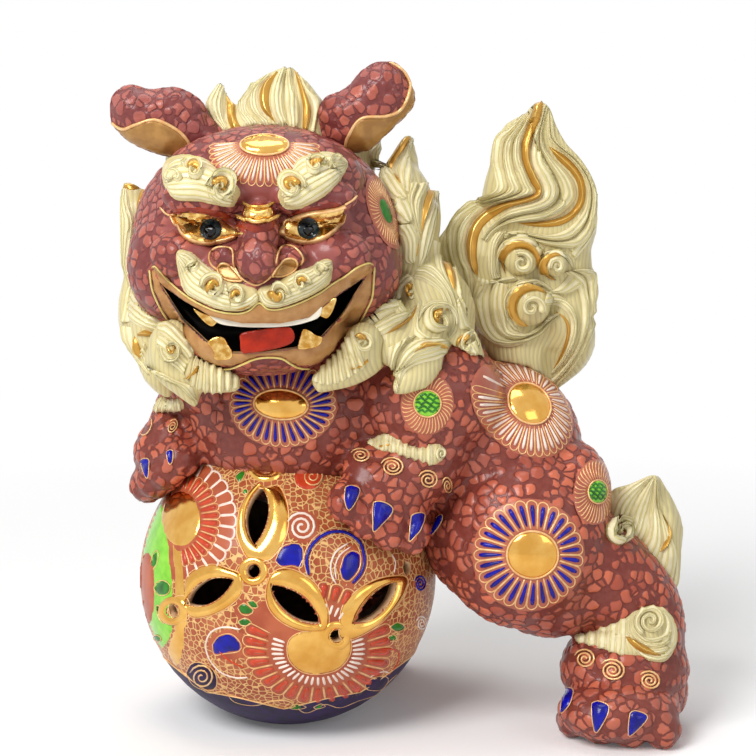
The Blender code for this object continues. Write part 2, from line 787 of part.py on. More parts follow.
def make_back_mane():
    """The hair down the back of the head and neck, between the shoulders."""
    nape = HEAD + Vector((0, HEAD_DEPTH / 2, 0))
    wide = HEAD_WIDTH / 2
    crown = [
        (nape + Vector((-47, -4, 44)), (0, 0, 6)),
        (nape + Vector((-25, -4, 58)), (0, 0, 4)),
    ]
    back = [
        (nape + Vector((57, 30, -68)), (0, 6, 6)),
        (nape + Vector((17, 32, -72)), (0, 6, 6)),
        (nape + Vector((79, 22, -58)), (0, 6, 8)),
    ]
    forms = [
        blob(nape + Vector((0, -8, 4)), (wide - 5, 24, 42)),
        blob(nape + Vector((6, 0, -30)), (wide - 7, 24, 34)),
        blob(nape + Vector((26, 4, -50)), (36, 20, 24)),
        *fan(nape + Vector((-30, -6, 18)), crown, 14),
        *fan(nape + Vector((30, -6, 18)), [(nape + Vector((51, 0, 54)), (0, 0, 4))], 14),
        *fan(nape + Vector((20, 14, -38)), back, 13),
    ]
    mane = cast("back_mane", forms, COARSE, 460)
    return finished(seated(mane), CREAM)


def beside(side, places):
    """Points given as millimetres out from a cheek, behind and above its middle."""
    edge = HEAD_WIDTH / 2
    return [HEAD + Vector((side * (edge + out), behind, up)) for out, behind, up in places]


def make_right_mane():
    """The hair beside the right cheek, at -X."""
    forms = [
        lock(beside(-1, [(-4, 22, -28), (-1, 20, -3), (0, 20, 12), (6, 22, 22)]), [11, 9, 8, 1.5], 1.4),
        lock(beside(-1, [(-7, 0, -46), (-1, 10, -33), (-3, 20, -18)]), [11, 10, 9], 1.3),
        blob(beside(-1, [(-11, 0, -40)])[0], (14, 22, 20)),
        lock(beside(-1, [(-14, -8, -42), (-11, -12, -55), (-16, -10, -68)]), [9, 8, 2], 1.2),
    ]
    mane = cast("right_mane", forms, MEDIUM, 300)
    return finished(seated(mane), CREAM)


def make_right_beard():
    curl = beside(-1, [(-21, -28, -43)])[0]
    forms = [
        blob(curl, (CURL_RADIUS + 4, 9, CURL_RADIUS + 4)),
        lock(beside(-1, [(-10, -20, -46), (-22, -28, -54), (-29, -28, -69)]), [7, 9, 1.5]),
        lock(beside(-1, [(-16, -20, -50), (-36, -34, -54), (-48, -36, -58)]), [8, 8, 3]),
    ]
    return finished(seated(cast("right_beard", forms, MEDIUM, 220)), CREAM)


def make_left_mane():
    """The hair beside the left cheek, at +X, that falls over the shoulder."""
    curls = beside(1, [(17, -8, -34), (7, -2, -22)])
    forms = [
        blob(beside(1, [(2, 18, -3)])[0], (15, 22, 34)),
        blob(beside(1, [(12, 10, -36)])[0], (21, 28, 26)),
        lock(beside(1, [(-4, 22, 10), (1, 26, 28), (4, 29, 43)]), [11, 8, 1.5], 1.2),
        lock(beside(1, [(6, 22, -8), (12, 28, 8), (16, 32, 18)]), [11, 7, 1.5], 1.2),
        lock(beside(1, [(14, 0, -38), (27, -6, -54), (24, -20, -70)]), [14, 11, 1.5], 1.2),
        lock(beside(1, [(4, -10, -38), (8, -24, -52), (-3, -34, -62)]), [14, 11, 1.5]),
        lock(beside(1, [(-6, -14, -30), (-6, -26, -42), (8, -26, -46)]), [10, 9, 7]),
        blob(curls[0], (CURL_RADIUS + 1, 9, CURL_RADIUS + 1)),
        blob(curls[1], (7, 8, 8)),
    ]
    mane = cast("left_mane", forms, MEDIUM, 540)
    return finished(seated(mane), CREAM)


def make_left_beard():
    curl = beside(1, [(-15, -32, -40)])[0]
    forms = [
        blob(curl, (CURL_RADIUS, 9, CURL_RADIUS)),
        lock(beside(1, [(-7, -24, -42), (-20, -32, -50), (-36, -36, -58)]), [8, 9, 4]),
    ]
    return finished(seated(cast("left_beard", forms, MEDIUM, 180)), CREAM)


def on_tail(u, v, share):
    """A place u across and v behind the tail's root, at a share of the tail's height."""
    return TAIL_ROOT + Vector((u, v, share * TAIL_HEIGHT))


def make_tail():
    """A flame shaped cast, broad at its side lobes and bent at its tip."""
    thick = TAIL_DEPTH / 34
    strokes = [
        ([(-2, 0, 0.65), (-6, 0, 0.82), (2, 2, 0.92), (1, 4, 1.0)], [17, 12, 8, 1.5], 0.8),
        ([(12, 0, 0.42), (22, 0, 0.56), (24, 0, 0.71)], [14, 9, 1.5], 1.0),
        ([(14, -2, 0.20), (24, -2, 0.27), (29, 0, 0.36)], [13, 8, 1.5], 1.0),
        ([(10, -2, 0.22), (18, -2, 0.07), (10, -3, -0.09)], [16, 12, 3], 1.0),
        ([(-20, 0, 0.43), (-30, 0, 0.44), (-38, 0, 0.50)], [16, 12, 4], 1.0),
        ([(0, 0, 0.34), (-14, 0, 0.20), (-8, -3, 0.05)], [18, 15, 13], 1.0),
        ([(0, 0, 0.29), (-4, -4, 0.12), (-6, -9, -0.05)], [16, 14, 14], 1.0),
    ]
    forms = [
        blob(on_tail(4, 0, 0.38), (24, 15 * thick, 36)),
        blob(on_tail(-18, 0, 0.42), (22, 14 * thick, 24), -20),
        blob(on_tail(-4, 0, 0.62), (18, 14 * thick, 26)),
    ]
    for places, radii, depth in strokes:
        forms.append(lock([on_tail(*place) for place in places], radii, depth * thick))
    tail = cast("tail", forms, MEDIUM, 780)
    return finished(seated(tail), CREAM)


def make_curl(name, place, radius, body):
    """A round boss of curled hair laid on the front of a body."""
    centre = resting(body, [place], 1.0)[0]
    curl = cast(name, [blob(centre, (radius, CURL_DEPTH, radius))], FINE, 120)
    return finished(seated(curl), CREAM)


def make_tail_curls(tail):
    make_curl("upper_tail_curl", on_tail(-6, -20, 0.43), CURL_RADIUS, tail)
    make_curl("outer_tail_curl", on_tail(11, -20, 0.40), CURL_RADIUS - 3, tail)
    make_curl("lower_tail_curl", on_tail(0, -20, 0.25), CURL_RADIUS + 1, tail)


def make_hock_tuft(name, hock, lean):
    """A flame of hair that stands up behind the hock."""
    forms = [
        lock([hock, hock + Vector((lean, 4, 24)), hock + Vector((lean, 8, 48))], [13, 13, 1.5], 0.9),
        lock([hock, hock + Vector((-lean, 3, 22)), hock + Vector((-2 * lean, 2, 42))], [12, 11, 2], 0.9),
    ]
    return finished(seated(cast(name, forms, MEDIUM, 180)), CREAM)


def make_band(name, leg, foot, places, radii):
    """A tapering band of hair laid round a leg, its places counted from the foot."""
    route = resting(leg, [foot + Vector(place) for place in places], 0.5)
    return finished(seated(cast(name, [lock(route, radii)], 1.5, 130)), CREAM)


def stand_at_origin():
    """Moves the whole lion so that its bounding box stands on the origin."""
    low = Vector((1e9, 1e9, 1e9))
    high = -low
    for piece in lion.objects:
        for vertex in piece.data.vertices:
            low = Vector(map(min, low, vertex.co))
            high = Vector(map(max, high, vertex.co))
    stand = bpy.data.objects.new("stand", None)
    bpy.context.scene.collection.objects.link(stand)
    stand.location = (-(low.x + high.x) / 2, -(low.y + high.y) / 2, -low.z)
    for piece in lion.objects:
        piece.parent = stand
    print("size in millimetres", [round(length / MM, 1) for length in high - low])


def make_hind_trims(left_leg, right_leg):
    """The tufts behind both hocks and the curls round both ankles."""
    make_hock_tuft("left_hock_tuft", LEFT_HIND_FOOT + Vector((10, 20, 45)), 6)
    make_hock_tuft("right_hock_tuft", RIGHT_HIND_FOOT + Vector((26, 4, 35)), 5)
    left = ((-20, -22, 27), (-5, -24, 31), (12, -14, 33), (20, 6, 29))
    make_band("left_ankle_curl", left_leg, LEFT_HIND_FOOT, left, [3, 6, 10, 6])
    right = ((-18, 10, 23), (-4, 22, 27), (12, 20, 29))
    make_band("right_ankle_curl", right_leg, RIGHT_HIND_FOOT, right, [3, 8, 5])


def make_cuffs(left_leg, right_leg):
    left = ((-9, -15, 22), (5, -17, 22), (17, -15, 18), (27, -7, 10))
    make_band("left_cuff", left_leg, LEFT_FORE_FOOT, left, [3, 5, 6, 3])
    right = ((-10, -2, 24), (0, -20, 24), (12, -28, 18))
    make_band("right_cuff", right_leg, RIGHT_FORE_FOOT, right, [3, 5, 3])


def make_face():
    make_ear("left_ear", 1, 0, 8)
    make_ear("right_ear", -1, 5, 0)
    for side, name in ((1, "left"), (-1, "right")):
        make_eye(name + "_eye", side)
        make_brow(name + "_brow", side)
        make_moustache(name + "_moustache", side)
        make_fang(name + "_upper_fang", side, False)
        make_fang(name + "_lower_fang", side, True)
    make_nose()
    make_bridge_ring()
    make_upper_teeth()
    make_tongue()


def make_hair():
    make_crown_tuft()
    make_back_mane()
    make_right_mane()
    make_right_beard()
    make_left_mane()
    make_left_beard()
    make_tail_curls(make_tail())


def main():
    for thing in list(bpy.data.objects):
        discard(thing)
    bpy.context.scene.collection.children.link(lion)

    make_ball()
    make_torso()
    left_hind = make_left_hind_leg()
    right_hind = make_right_hind_leg()
    left_fore = make_left_foreleg()
    right_fore = make_right_foreleg()
    make_head()
    make_lower_jaw()
    make_face()
    make_hair()
    make_hind_trims(left_hind, right_hind)
    make_cuffs(left_fore, right_fore)
    stand_at_origin()


main()
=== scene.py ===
"""Looks for a glazed guardian lion with an openwork ball: skin, hair, enamel lines, gold and light."""

import math
import random

import bpy
import numpy as np
from mathutils import Matrix, Vector
from mathutils.bvhtree import BVHTree
from mathutils.geometry import delaunay_2d_cdt


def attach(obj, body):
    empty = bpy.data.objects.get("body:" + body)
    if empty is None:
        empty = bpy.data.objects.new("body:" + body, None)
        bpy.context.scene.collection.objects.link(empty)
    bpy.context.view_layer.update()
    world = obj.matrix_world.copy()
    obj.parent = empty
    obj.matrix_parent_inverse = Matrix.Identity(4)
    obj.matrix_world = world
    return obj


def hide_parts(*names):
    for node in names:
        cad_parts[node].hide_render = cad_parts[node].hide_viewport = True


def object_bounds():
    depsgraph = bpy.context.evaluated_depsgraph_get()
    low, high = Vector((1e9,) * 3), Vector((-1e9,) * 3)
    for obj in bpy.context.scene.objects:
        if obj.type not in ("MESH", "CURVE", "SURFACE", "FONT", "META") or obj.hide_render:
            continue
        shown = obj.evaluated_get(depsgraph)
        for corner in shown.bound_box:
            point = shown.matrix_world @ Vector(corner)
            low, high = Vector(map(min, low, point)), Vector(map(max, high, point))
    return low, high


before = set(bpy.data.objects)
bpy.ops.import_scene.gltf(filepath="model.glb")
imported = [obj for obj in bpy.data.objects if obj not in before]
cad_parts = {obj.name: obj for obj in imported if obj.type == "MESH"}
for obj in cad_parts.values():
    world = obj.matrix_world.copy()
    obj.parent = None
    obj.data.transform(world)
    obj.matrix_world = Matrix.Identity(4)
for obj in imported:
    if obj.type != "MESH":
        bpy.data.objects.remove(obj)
cad_box = [list(corner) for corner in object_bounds()]

MM = 0.001
# The modelled places are counted from the photograph's own origin, this far from the row's.
SHIFT = Vector((-2.08, -5.213, 0))

# The middles of the ball and the head, and the ball's radius, in millimetres.
BALL = Vector((-50, 10, 63.77))
BALL_RADIUS = 66.0
HEAD = Vector((-57, -14, 218))
# The photograph's camera: the frame's size, its focal length and the pixel that it looks at, all in
# pixels, and how far it looks down.
FRAME = 756
FOCAL = 2288
AIM = (400, 389)
TILT = math.radians(10)
FORWARD = Vector((0, math.cos(TILT), -math.sin(TILT)))
UP = Vector((0, math.sin(TILT), math.cos(TILT)))
RIGHT = Vector((1, 0, 0))


def spot(x, y, z):
    """A place in millimetres from the photograph's origin, as metres in the row's frame."""
    return (Vector((x, y, z)) + SHIFT) * MM


EYE = spot(0, 0, 150) - FORWARD


# Lines of sight

def photo(px, py):
    """The line of sight through a pixel of the 756 pixel frame."""
    return EYE, (FORWARD * FOCAL + RIGHT * (px - AIM[0]) + UP * (AIM[1] - py)).normalized()


def tree_of(*things):
    """A search tree of several meshes' faces."""
    corners, faces = [], []
    for thing in things:
        base = len(corners)
        corners.extend(v.co for v in thing.data.vertices)
        faces.extend([base + i for i in f.vertices] for f in thing.data.polygons)
    return BVHTree.FromPolygons(corners, faces)


def landing(tree, line, place, last=None):
    """Where a line meets a skin, and the skin's normal there."""
    origin, way = line(*place)
    found, normal, _, _ = tree.ray_cast(origin, way)
    if found is None:
        depth = (last[0] - origin).dot(way) if last else 0.99
        near = tree.find_nearest(origin + way * depth)
        reach = (near[0] - origin).dot(way)
        return origin + way * reach, (last[1] if last else -way)
    if normal.dot(way) > 0:
        normal = -normal
    return found, normal


def drawn_in(tree, line, place, middle):
    """The place itself if a line through it meets the skin, else the last one on the way that does."""
    if tree.ray_cast(*line(*place))[0] is not None:
        return tuple(place)
    place, middle = np.array(place, float), np.array(middle, float)
    near, away = 0.0, 1.0
    for _ in range(7):
        share = (near + away) / 2
        if tree.ray_cast(*line(*(middle + (place - middle) * share)))[0] is None:
            away = share
        else:
            near = share
    return tuple(middle + (place - middle) * near)


def flowing(points, step):
    """A smooth curve through points of any size, with stations about a step apart."""
    points = [np.array(p, float) for p in points]
    ends = [2 * points[0] - points[1], *points, 2 * points[-1] - points[-2]]
    route = []
    for a, b, c, d in zip(ends, ends[1:], ends[2:], ends[3:]):
        count = max(2, int(np.linalg.norm((c - b)[:3]) / step))
        for i in range(count):
            t = i / count
            bend = 2 * a - 5 * b + 4 * c - d + t * (3 * b - a - 3 * c + d)
            route.append(b + 0.5 * t * (c - a + t * bend))
    route.append(points[-1])
    return route


# Making meshes

class Build:
    """Gathers the sweeps and patches of one piece."""

    def __init__(self, name):
        self.name, self.corners, self.faces, self.maps = name, [], [], []

    def add(self, corners, faces, maps=None):
        base = len(self.corners)
        self.corners.extend(corners)
        self.faces.extend([base + i for i in face] for face in faces)
        self.maps.extend(maps or [[(0, 0)] * len(face) for face in faces])

    def piece(self, glaze, slot, nodes=()):
        mesh = bpy.data.meshes.new(self.name)
        mesh.from_pydata([tuple(c) for c in self.corners], [], self.faces)
        layer = mesh.uv_layers.new(name="flow")
        layer.data.foreach_set("uv", [n for face in self.maps for uv in face for n in uv])
        return finish(linked(self.name, mesh), glaze, nodes)


def linked(name, data):
    """A new object in the scene that shows a mesh, curve, lamp or camera."""
    made = bpy.data.objects.new(name, data)
    bpy.context.scene.collection.objects.link(made)
    return made


def select(*things):
    """Selects these things alone, the first of them active."""
    bpy.ops.object.select_all(action="DESELECT")
    for thing in things:
        thing.select_set(True)
    bpy.context.view_layer.objects.active = things[0]


def apply(thing, kind, **settings):
    """Adds a modifier to a mesh and applies it."""
    select(thing)
    modifier = thing.modifiers.new(kind.lower(), kind)
    for name, value in settings.items():
        setattr(modifier, name, value)
    bpy.ops.object.modifier_apply(modifier=modifier.name)
    return thing


def in_edit_mode(made, change, **settings):
    """Runs one edit mode operator on the whole of a mesh."""
    select(made)
    bpy.ops.object.mode_set(mode="EDIT")
    bpy.ops.mesh.select_all(action="SELECT")
    change(**settings)
    bpy.ops.object.mode_set(mode="OBJECT")
    return made


def finish(made, glaze, nodes=()):
    """Keeps a piece inside the lion's box, glazes it and hangs it on the body."""
    low, high = (np.array(c) for c in cad_box)
    flat = np.zeros(len(made.data.vertices) * 3, np.float32)
    made.data.vertices.foreach_get("co", flat)
    flat = np.clip(flat.reshape(-1, 3), low, high)
    made.data.vertices.foreach_set("co", flat.ravel())
    shares = [0] * len(made.data.polygons)
    if isinstance(glaze, list):
        made.data.polygons.foreach_get("material_index", shares)
    made.data.materials.clear()
    for one in glaze if isinstance(glaze, list) else [glaze]:
        made.data.materials.append(one)
    made.data.polygons.foreach_set("material_index", shares)
    made.data.shade_smooth()
    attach(made, "root")
    if nodes:
        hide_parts(*nodes)
    return made


def ellipsoid(centre, radii):
    """A round form with its three radii in millimetres."""
    bpy.ops.object.select_all(action="DESELECT")
    bpy.ops.mesh.primitive_uv_sphere_add(segments=40, ring_count=24, radius=1, location=spot(*centre))
    form = bpy.context.object
    form.scale = Vector(radii) * MM
    bpy.ops.object.transform_apply(location=True, rotation=True, scale=True)
    return form


def limb(points, radii):
    """A round bar along a smooth route, its radius given at every point."""
    route = flowing([(*p, r) for p, r in zip(points, radii)], 3)
    curve = bpy.data.curves.new("limb", "CURVE")
    curve.dimensions = "3D"
    curve.bevel_depth = MM
    curve.bevel_resolution = 6
    curve.use_fill_caps = True
    spline = curve.splines.new("POLY")
    spline.points.add(len(route) - 1)
    for point, (x, y, z, radius) in zip(spline.points, route):
        point.co = (*spot(x, y, z), 1)
        point.radius = max(radius, 0.4)
    select(linked("limb", curve))
    bpy.ops.object.convert(target="MESH")
    return bpy.context.object


def prism(name, corners):
    """A closed block from the corners of its near outline, followed by those of its far one."""
    count = len(corners) // 2
    faces = [[i, (i + 1) % count, count + (i + 1) % count, count + i] for i in range(count)]
    faces += [list(range(count))[::-1], list(range(count, 2 * count))]
    mesh = bpy.data.meshes.new(name)
    mesh.from_pydata(corners, [], faces)
    return in_edit_mode(linked(name, mesh), bpy.ops.mesh.normals_make_consistent, inside=False)


def slab(outline, near, far):
    """A block whose outline is drawn through the camera, from one depth of Y to another, in mm."""
    corners = []
    for level in (near, far):
        for place in outline:
            origin, way = photo(*place)
            reach = (spot(0, level, 0).y - origin.y) / way.y
            corners.append(origin + way * reach)
    return prism("slab", corners)


def rounded(outline, step=3.0):
    """A closed smooth outline through 2-D points."""
    wrapped = [*outline[-2:], *outline, *outline[:2]]
    route = flowing(wrapped, step)
    first = min(range(len(route)), key=lambda i: np.linalg.norm(route[i] - np.array(outline[0], float)))
    rest = route[first + 3:]
    last = min(range(len(rest)), key=lambda i: np.linalg.norm(rest[i] - np.array(outline[0], float)))
    return [tuple(p) for p in route[first:first + 3 + last]]


def melt(name, forms, grain, smoothing):
    """Melts overlapping forms into one smooth closed body; its grain is in millimetres."""
    select(*forms)
    if len(forms) > 1:
        bpy.ops.object.join()
    body = bpy.context.object
    body.name = name
    body.data.name = name
    apply(body, "REMESH", mode="VOXEL", voxel_size=grain * MM)
    apply(body, "SMOOTH", factor=0.5, iterations=smoothing)
    return body


def cut(body, tool):
    """Cuts a tool's shape out of a body and throws the tool away."""
    apply(body, "BOOLEAN", operation="DIFFERENCE", solver="EXACT", object=tool)
    bpy.data.objects.remove(tool, do_unlink=True)
    return body


def sweep(build, route, normals, widths, heights, ring):
    """Sweeps a flattened ring along a route laid on a skin, its strands running along it."""
    count = len(route)
    cells = len(ring)
    corners = []
    length = 0.0
    lengths = []
    for i in range(count):
        ahead = route[min(i + 1, count - 1)] - route[max(i - 1, 0)]
        ahead = ahead.normalized() if ahead.length > 1e-9 else Vector((0, 0, 1))
        out = normals[i] - normals[i].dot(ahead) * ahead
        out = out.normalized() if out.length > 1e-6 else ahead.orthogonal().normalized()
        side = ahead.cross(out)
        for across, rise, _ in ring:
            corners.append(route[i] + side * (across * widths[i] * MM) + out * (rise * heights[i] * MM))
        if i:
            length += (route[i] - route[i - 1]).length / MM
        lengths.append(length)
    faces, maps = [], []
    for i in range(count - 1):
        for j in range(cells):
            k = (j + 1) % cells
            faces.append([i * cells + j, i * cells + k, (i + 1) * cells + k, (i + 1) * cells + j])
            a, b = ring[j][2], ring[k][2]
            maps.append([(a, lengths[i]), (b, lengths[i]), (b, lengths[i + 1]), (a, lengths[i + 1])])
    ends = [list(range(cells))[::-1], [(count - 1) * cells + j for j in range(cells)]]
    faces += ends
    maps += [[(ring[j][2], 0) for j in range(cells)] for _ in ends]
    build.add(corners, faces, maps)


# The section of a trail of enamel squeezed from a tube, low and round: each corner's place across and
# up, in half widths, and its place across the pattern.
TRAIL_RING = [(1, -0.5, 0), (0.75, 0.55, 0), (0, 1, 0), (-0.75, 0.55, 0), (-1, -0.5, 0)]


def trail(build, tree, line, places, width, lift=0.0, step=1.5, closed=False, height=None, smooth=True):
    """A raised enamel line over places given in 2-D; two widths, in millimetres, taper it."""
    if closed:
        places = [*places, places[0]]
    if smooth and len(places) > 2:
        places = flowing(places, step)
    route, normals, last = [], [], None
    for place in places:
        if tree.ray_cast(*line(*place))[0] is None:
            continue
        last = landing(tree, line, place, last)
        if route and (last[0] - route[-1]).length > 7 * MM:
            break
        route.append(last[0] + last[1] * lift * MM)
        normals.append(last[1])
    if len(route) < 3:
        return
    first, final = width if isinstance(width, tuple) else (width, width)
    sizes = [w / 2 for w in np.linspace(first, final, len(route))]
    if not closed:
        sizes[0] *= 0.57
        sizes[-1] *= 0.57
    rise = [height or size * 0.9 for size in sizes]
    sweep(build, route, normals, sizes, rise, TRAIL_RING)


def patch(build, tree, line, outline, grain, dome=0.5, sink=0.25, lift=0.0, holes=()):
    """A pool of enamel inside an outline, thick in the middle and sunk at its edge."""
    middle = np.mean(outline, 0)
    if tree.ray_cast(*line(*middle))[0] is None:
        return
    edge = [Vector(drawn_in(tree, line, p, middle)) for p in outline]
    low = Vector((min(p.x for p in edge), min(p.y for p in edge)))
    high = Vector((max(p.x for p in edge), max(p.y for p in edge)))
    inner = []
    y = low.y + grain / 2
    while y < high.y:
        x = low.x + grain / 2
        while x < high.x:
            inner.append(Vector((x, y)))
            x += grain
        y += grain
    segments = list(zip(edge, edge[1:] + edge[:1]))

    def gap(p):
        best = 1e9
        for a, b in segments:
            along = b - a
            share = max(0.0, min(1.0, (p - a).dot(along) / max(along.length_squared, 1e-9)))
            best = min(best, (p - a - along * share).length)
        return best

    kept = [(p, gap(p)) for p in inner]
    kept = [(p, d) for p, d in kept if d > grain * 0.35]
    points = edge + [p for p, _ in kept]
    count = len(edge)
    borders = [(i, (i + 1) % count) for i in range(count)]
    places, _, faces = delaunay_2d_cdt(points, borders, [], 1, 1e-6)[:3]
    deepest = max([d for _, d in kept], default=1.0)
    corners, last = [], None
    for p in places:
        last = landing(tree, line, (p.x, p.y), last)
        share = min(1.0, gap(p) / deepest)
        rise = -sink if share < 0.02 else lift + dome * math.sin(share * math.pi / 2) ** 0.7
        corners.append(last[0] + last[1] * rise * MM)
    flipped = []
    for face in faces:
        centre = sum((places[i] for i in face), Vector((0, 0))) / len(face)
        if any(within(centre, hole) for hole in holes):
            continue
        a, b, c = (corners[i] for i in face[:3])
        origin, way = line(*places[face[0]])
        flipped.append(list(face) if (b - a).cross(c - a).dot(way) < 0 else list(face)[::-1])
    build.add(corners, flipped, [[(places[i].x, places[i].y) for i in face] for face in flipped])


def oval(centre, wide, high, lean, angle):
    """The place at an angle on an oval that leans, both in degrees."""
    tip, turn = math.radians(lean), math.radians(angle)
    x, y = wide * math.cos(turn), high * math.sin(turn)
    return np.array((centre[0] + x * math.cos(tip) - y * math.sin(tip),
                     centre[1] + x * math.sin(tip) + y * math.cos(tip)))


def disc(build, tree, line, centre, wide, high, grain, dome, lift=0.0, lean=0.0, holes=()):
    """A round pool of enamel, and the places of its rim."""
    places = [tuple(oval(centre, wide, high, lean, angle)) for angle in np.linspace(0, 360, 32, False)]
    patch(build, tree, line, places, grain, dome, sink=0.1, lift=lift, holes=holes)
    return places


def petal(inner, outer, angle, half, across, along):
    """A place in a petal between two ovals: across it from -1 to 1, along it from 0 to 1."""
    turn = angle + half * across
    return oval(*inner, turn) * (1 - along) + oval(*outer, turn) * along


# The rim of a petal, from one side of its foot round its tip: places across and along it.
PETAL_RIM = [(-0.9, 0), (-0.93, 0.45), (-0.92, 0.85), (-0.55, 0.98), (0, 1.02), (0.55, 0.98), (0.92, 0.85),
             (0.93, 0.45), (0.9, 0)]


def bloom(fill, rims, tree, line, inner, outer, angles, half, width, drop, ends=(0.1, 0.84), height=None):
    """A ring of petals: a tapering drop of one enamel inside a raised rim of another."""
    for angle in angles:
        if rims:
            rim = [petal(inner, outer, angle, half, *place) for place in PETAL_RIM]
            trail(rims, tree, line, rim, width, step=4)
        if fill:
            vein = [petal(inner, outer, angle, half, 0, along) for along in np.linspace(*ends, 6)]
            trail(fill, tree, line, vein, drop, lift=0.05, height=height, smooth=False)


def swirl(build, tree, line, centre, wide, high, turns, width, start, lean=0.0, lift=0.0):
    """A spiral of enamel that winds clockwise into an oval."""
    places = [oval(centre, wide * (1 - 0.88 * s), high * (1 - 0.88 * s), lean, start + 360 * turns * s)
              for s in np.linspace(0, 1, int(turns * 14))]
    trail(build, tree, line, places, width, lift, smooth=False)


def band(build, tree, line, outer, inner, dome):
    """A raised ring of enamel between two closed outlines."""
    count, rows, sink = 56, 6, 0.2
    outer, inner = rail([*outer, outer[0]], count)[:-1], rail([*inner, inner[0]], count)[:-1]
    first = min(range(count), key=lambda i: np.linalg.norm(outer[i] - inner[0]))
    outer = outer[first:] + outer[:first]
    corners, last = [], None
    for a, b in zip(outer, inner):
        for j in range(rows + 1):
            share = j / rows
            last = landing(tree, line, tuple(a + (b - a) * share), last)
            rise = dome * math.sin(math.pi * share) ** 0.6 - sink * (j in (0, rows))
            corners.append(last[0] + last[1] * rise * MM)
    faces = []
    for i in range(count):
        k = (i + 1) % count
        faces += [[i * (rows + 1) + j, i * (rows + 1) + j + 1, k * (rows + 1) + j + 1, k * (rows + 1) + j]
                  for j in range(rows)]
    a, b, c = (corners[i] for i in faces[rows // 2][:3])
    if (b - a).cross(c - b).dot(line(*outer[0])[1]) > 0:
        faces = [face[::-1] for face in faces]
    build.add(corners, faces)


# Glazes

def linear(colour):
    """An sRGB hex colour as Blender's linear RGBA."""
    parts = [int(colour[i:i + 2], 16) / 255 for i in (1, 3, 5)]
    return (*[c / 12.92 if c < 0.04045 else ((c + 0.055) / 1.055) ** 2.4 for c in parts], 1)


def add(tree, kind, inputs=None, out=0, stops=(), **settings):
    """Adds a node with its settings, stops and links, and gives the socket that the next one reads."""
    made = tree.nodes.new(kind)
    for name, value in settings.items():
        setattr(made, name, value)
    for i, (place, level) in enumerate(stops):
        marks = made.color_ramp.elements
        mark = marks[i] if i < 2 else marks.new(place)
        mark.position = place
        mark.color = linear(level) if isinstance(level, str) else (level, level, level, 1)
    for socket, value in (inputs or {}).items():
        if isinstance(value, bpy.types.NodeSocket):
            tree.links.new(value, made.inputs[socket])
        elif str(value).startswith("#"):
            made.inputs[socket].default_value = linear(value)
        else:
            made.inputs[socket].default_value = value
    return made.outputs[out] if out is not None else made


def fired(name, roughness, coat, metal=0.0):
    """A fired surface: a coloured body under a thin clear glassy coat, which stays weak so that the
    colours render as they are written."""
    made = bpy.data.materials.new(name)
    made.use_nodes = True
    tree = made.node_tree
    shader = tree.nodes["Principled BSDF"]
    shader.inputs["Roughness"].default_value = roughness
    shader.inputs["Metallic"].default_value = metal
    if not metal:
        shader.inputs["Specular IOR Level"].default_value = 0.25
    shader.inputs["Coat Weight"].default_value = coat * 0.3
    shader.inputs["Coat Roughness"].default_value = 0.1
    return made, tree, shader


def colour_and_relief(tree, shader, colour, height, distance):
    """Gives a glaze its colour, and a relief whose full height is a distance in millimetres."""
    tree.links.new(colour, shader.inputs["Base Color"])
    relief = add(tree, "ShaderNodeBump", {"Height": height, "Distance": distance * MM})
    tree.links.new(relief, shader.inputs["Normal"])


# The nodes that the glazes use most, and the settings that make a mix one of colours.
MIX, RAMP, NOISE, CELLS, MATH = (
    "ShaderNodeMix", "ShaderNodeValToRGB", "ShaderNodeTexNoise", "ShaderNodeTexVoronoi", "ShaderNodeMath")
VECTOR, SPLIT, PLACE = "ShaderNodeVectorMath", "ShaderNodeSeparateXYZ", "ShaderNodeTexCoord"
TINT = {"data_type": "RGBA", "out": 2}
# How high a pebble stands at each depth inside its rim: the colour's relief and the mesh share it.
PEBBLE_RISE = [(0.0, 0.0), (0.08, 0.6), (0.28, 1.0)]


def pebble_cells(tree, place, size):
    """Cells of the hide: how deep inside its pebble a place lies, and the pebble's own shade.

    Waves 5 mm long bend the cells. A rim rounds their corners off, and a share taken from each makes
    some pebbles smaller.
    """
    bend = add(tree, NOISE, {"Vector": place, "Scale": 200.0, "Detail": 1.0}, out="Color")
    bend = add(tree, VECTOR, {0: bend, 1: (0.5, 0.5, 0.5)}, operation="SUBTRACT")
    bend = add(tree, VECTOR, {0: bend, "Scale": 3.2 * MM}, operation="SCALE")
    place = add(tree, VECTOR, {0: place, 1: bend}, operation="ADD")
    scale = 1 / (size * MM)
    edge = add(tree, CELLS, {"Vector": place, "Scale": scale}, feature="DISTANCE_TO_EDGE")
    cell = add(tree, CELLS, {"Vector": place, "Scale": scale}, out=None)
    shade = add(tree, SPLIT, {0: cell.outputs["Color"]})
    rim = add(tree, MATH, {0: 0.63, 1: cell.outputs["Distance"]}, operation="SUBTRACT")
    chance = add(tree, SPLIT, {0: cell.outputs["Color"]}, out=1)
    shrink = add(tree, MATH, {0: chance, 1: -0.045}, operation="MULTIPLY")
    deep = add(tree, MATH, {0: edge, 1: rim}, operation="MINIMUM")
    deep = add(tree, MATH, {0: deep, 1: shrink}, operation="ADD")
    return deep, shade


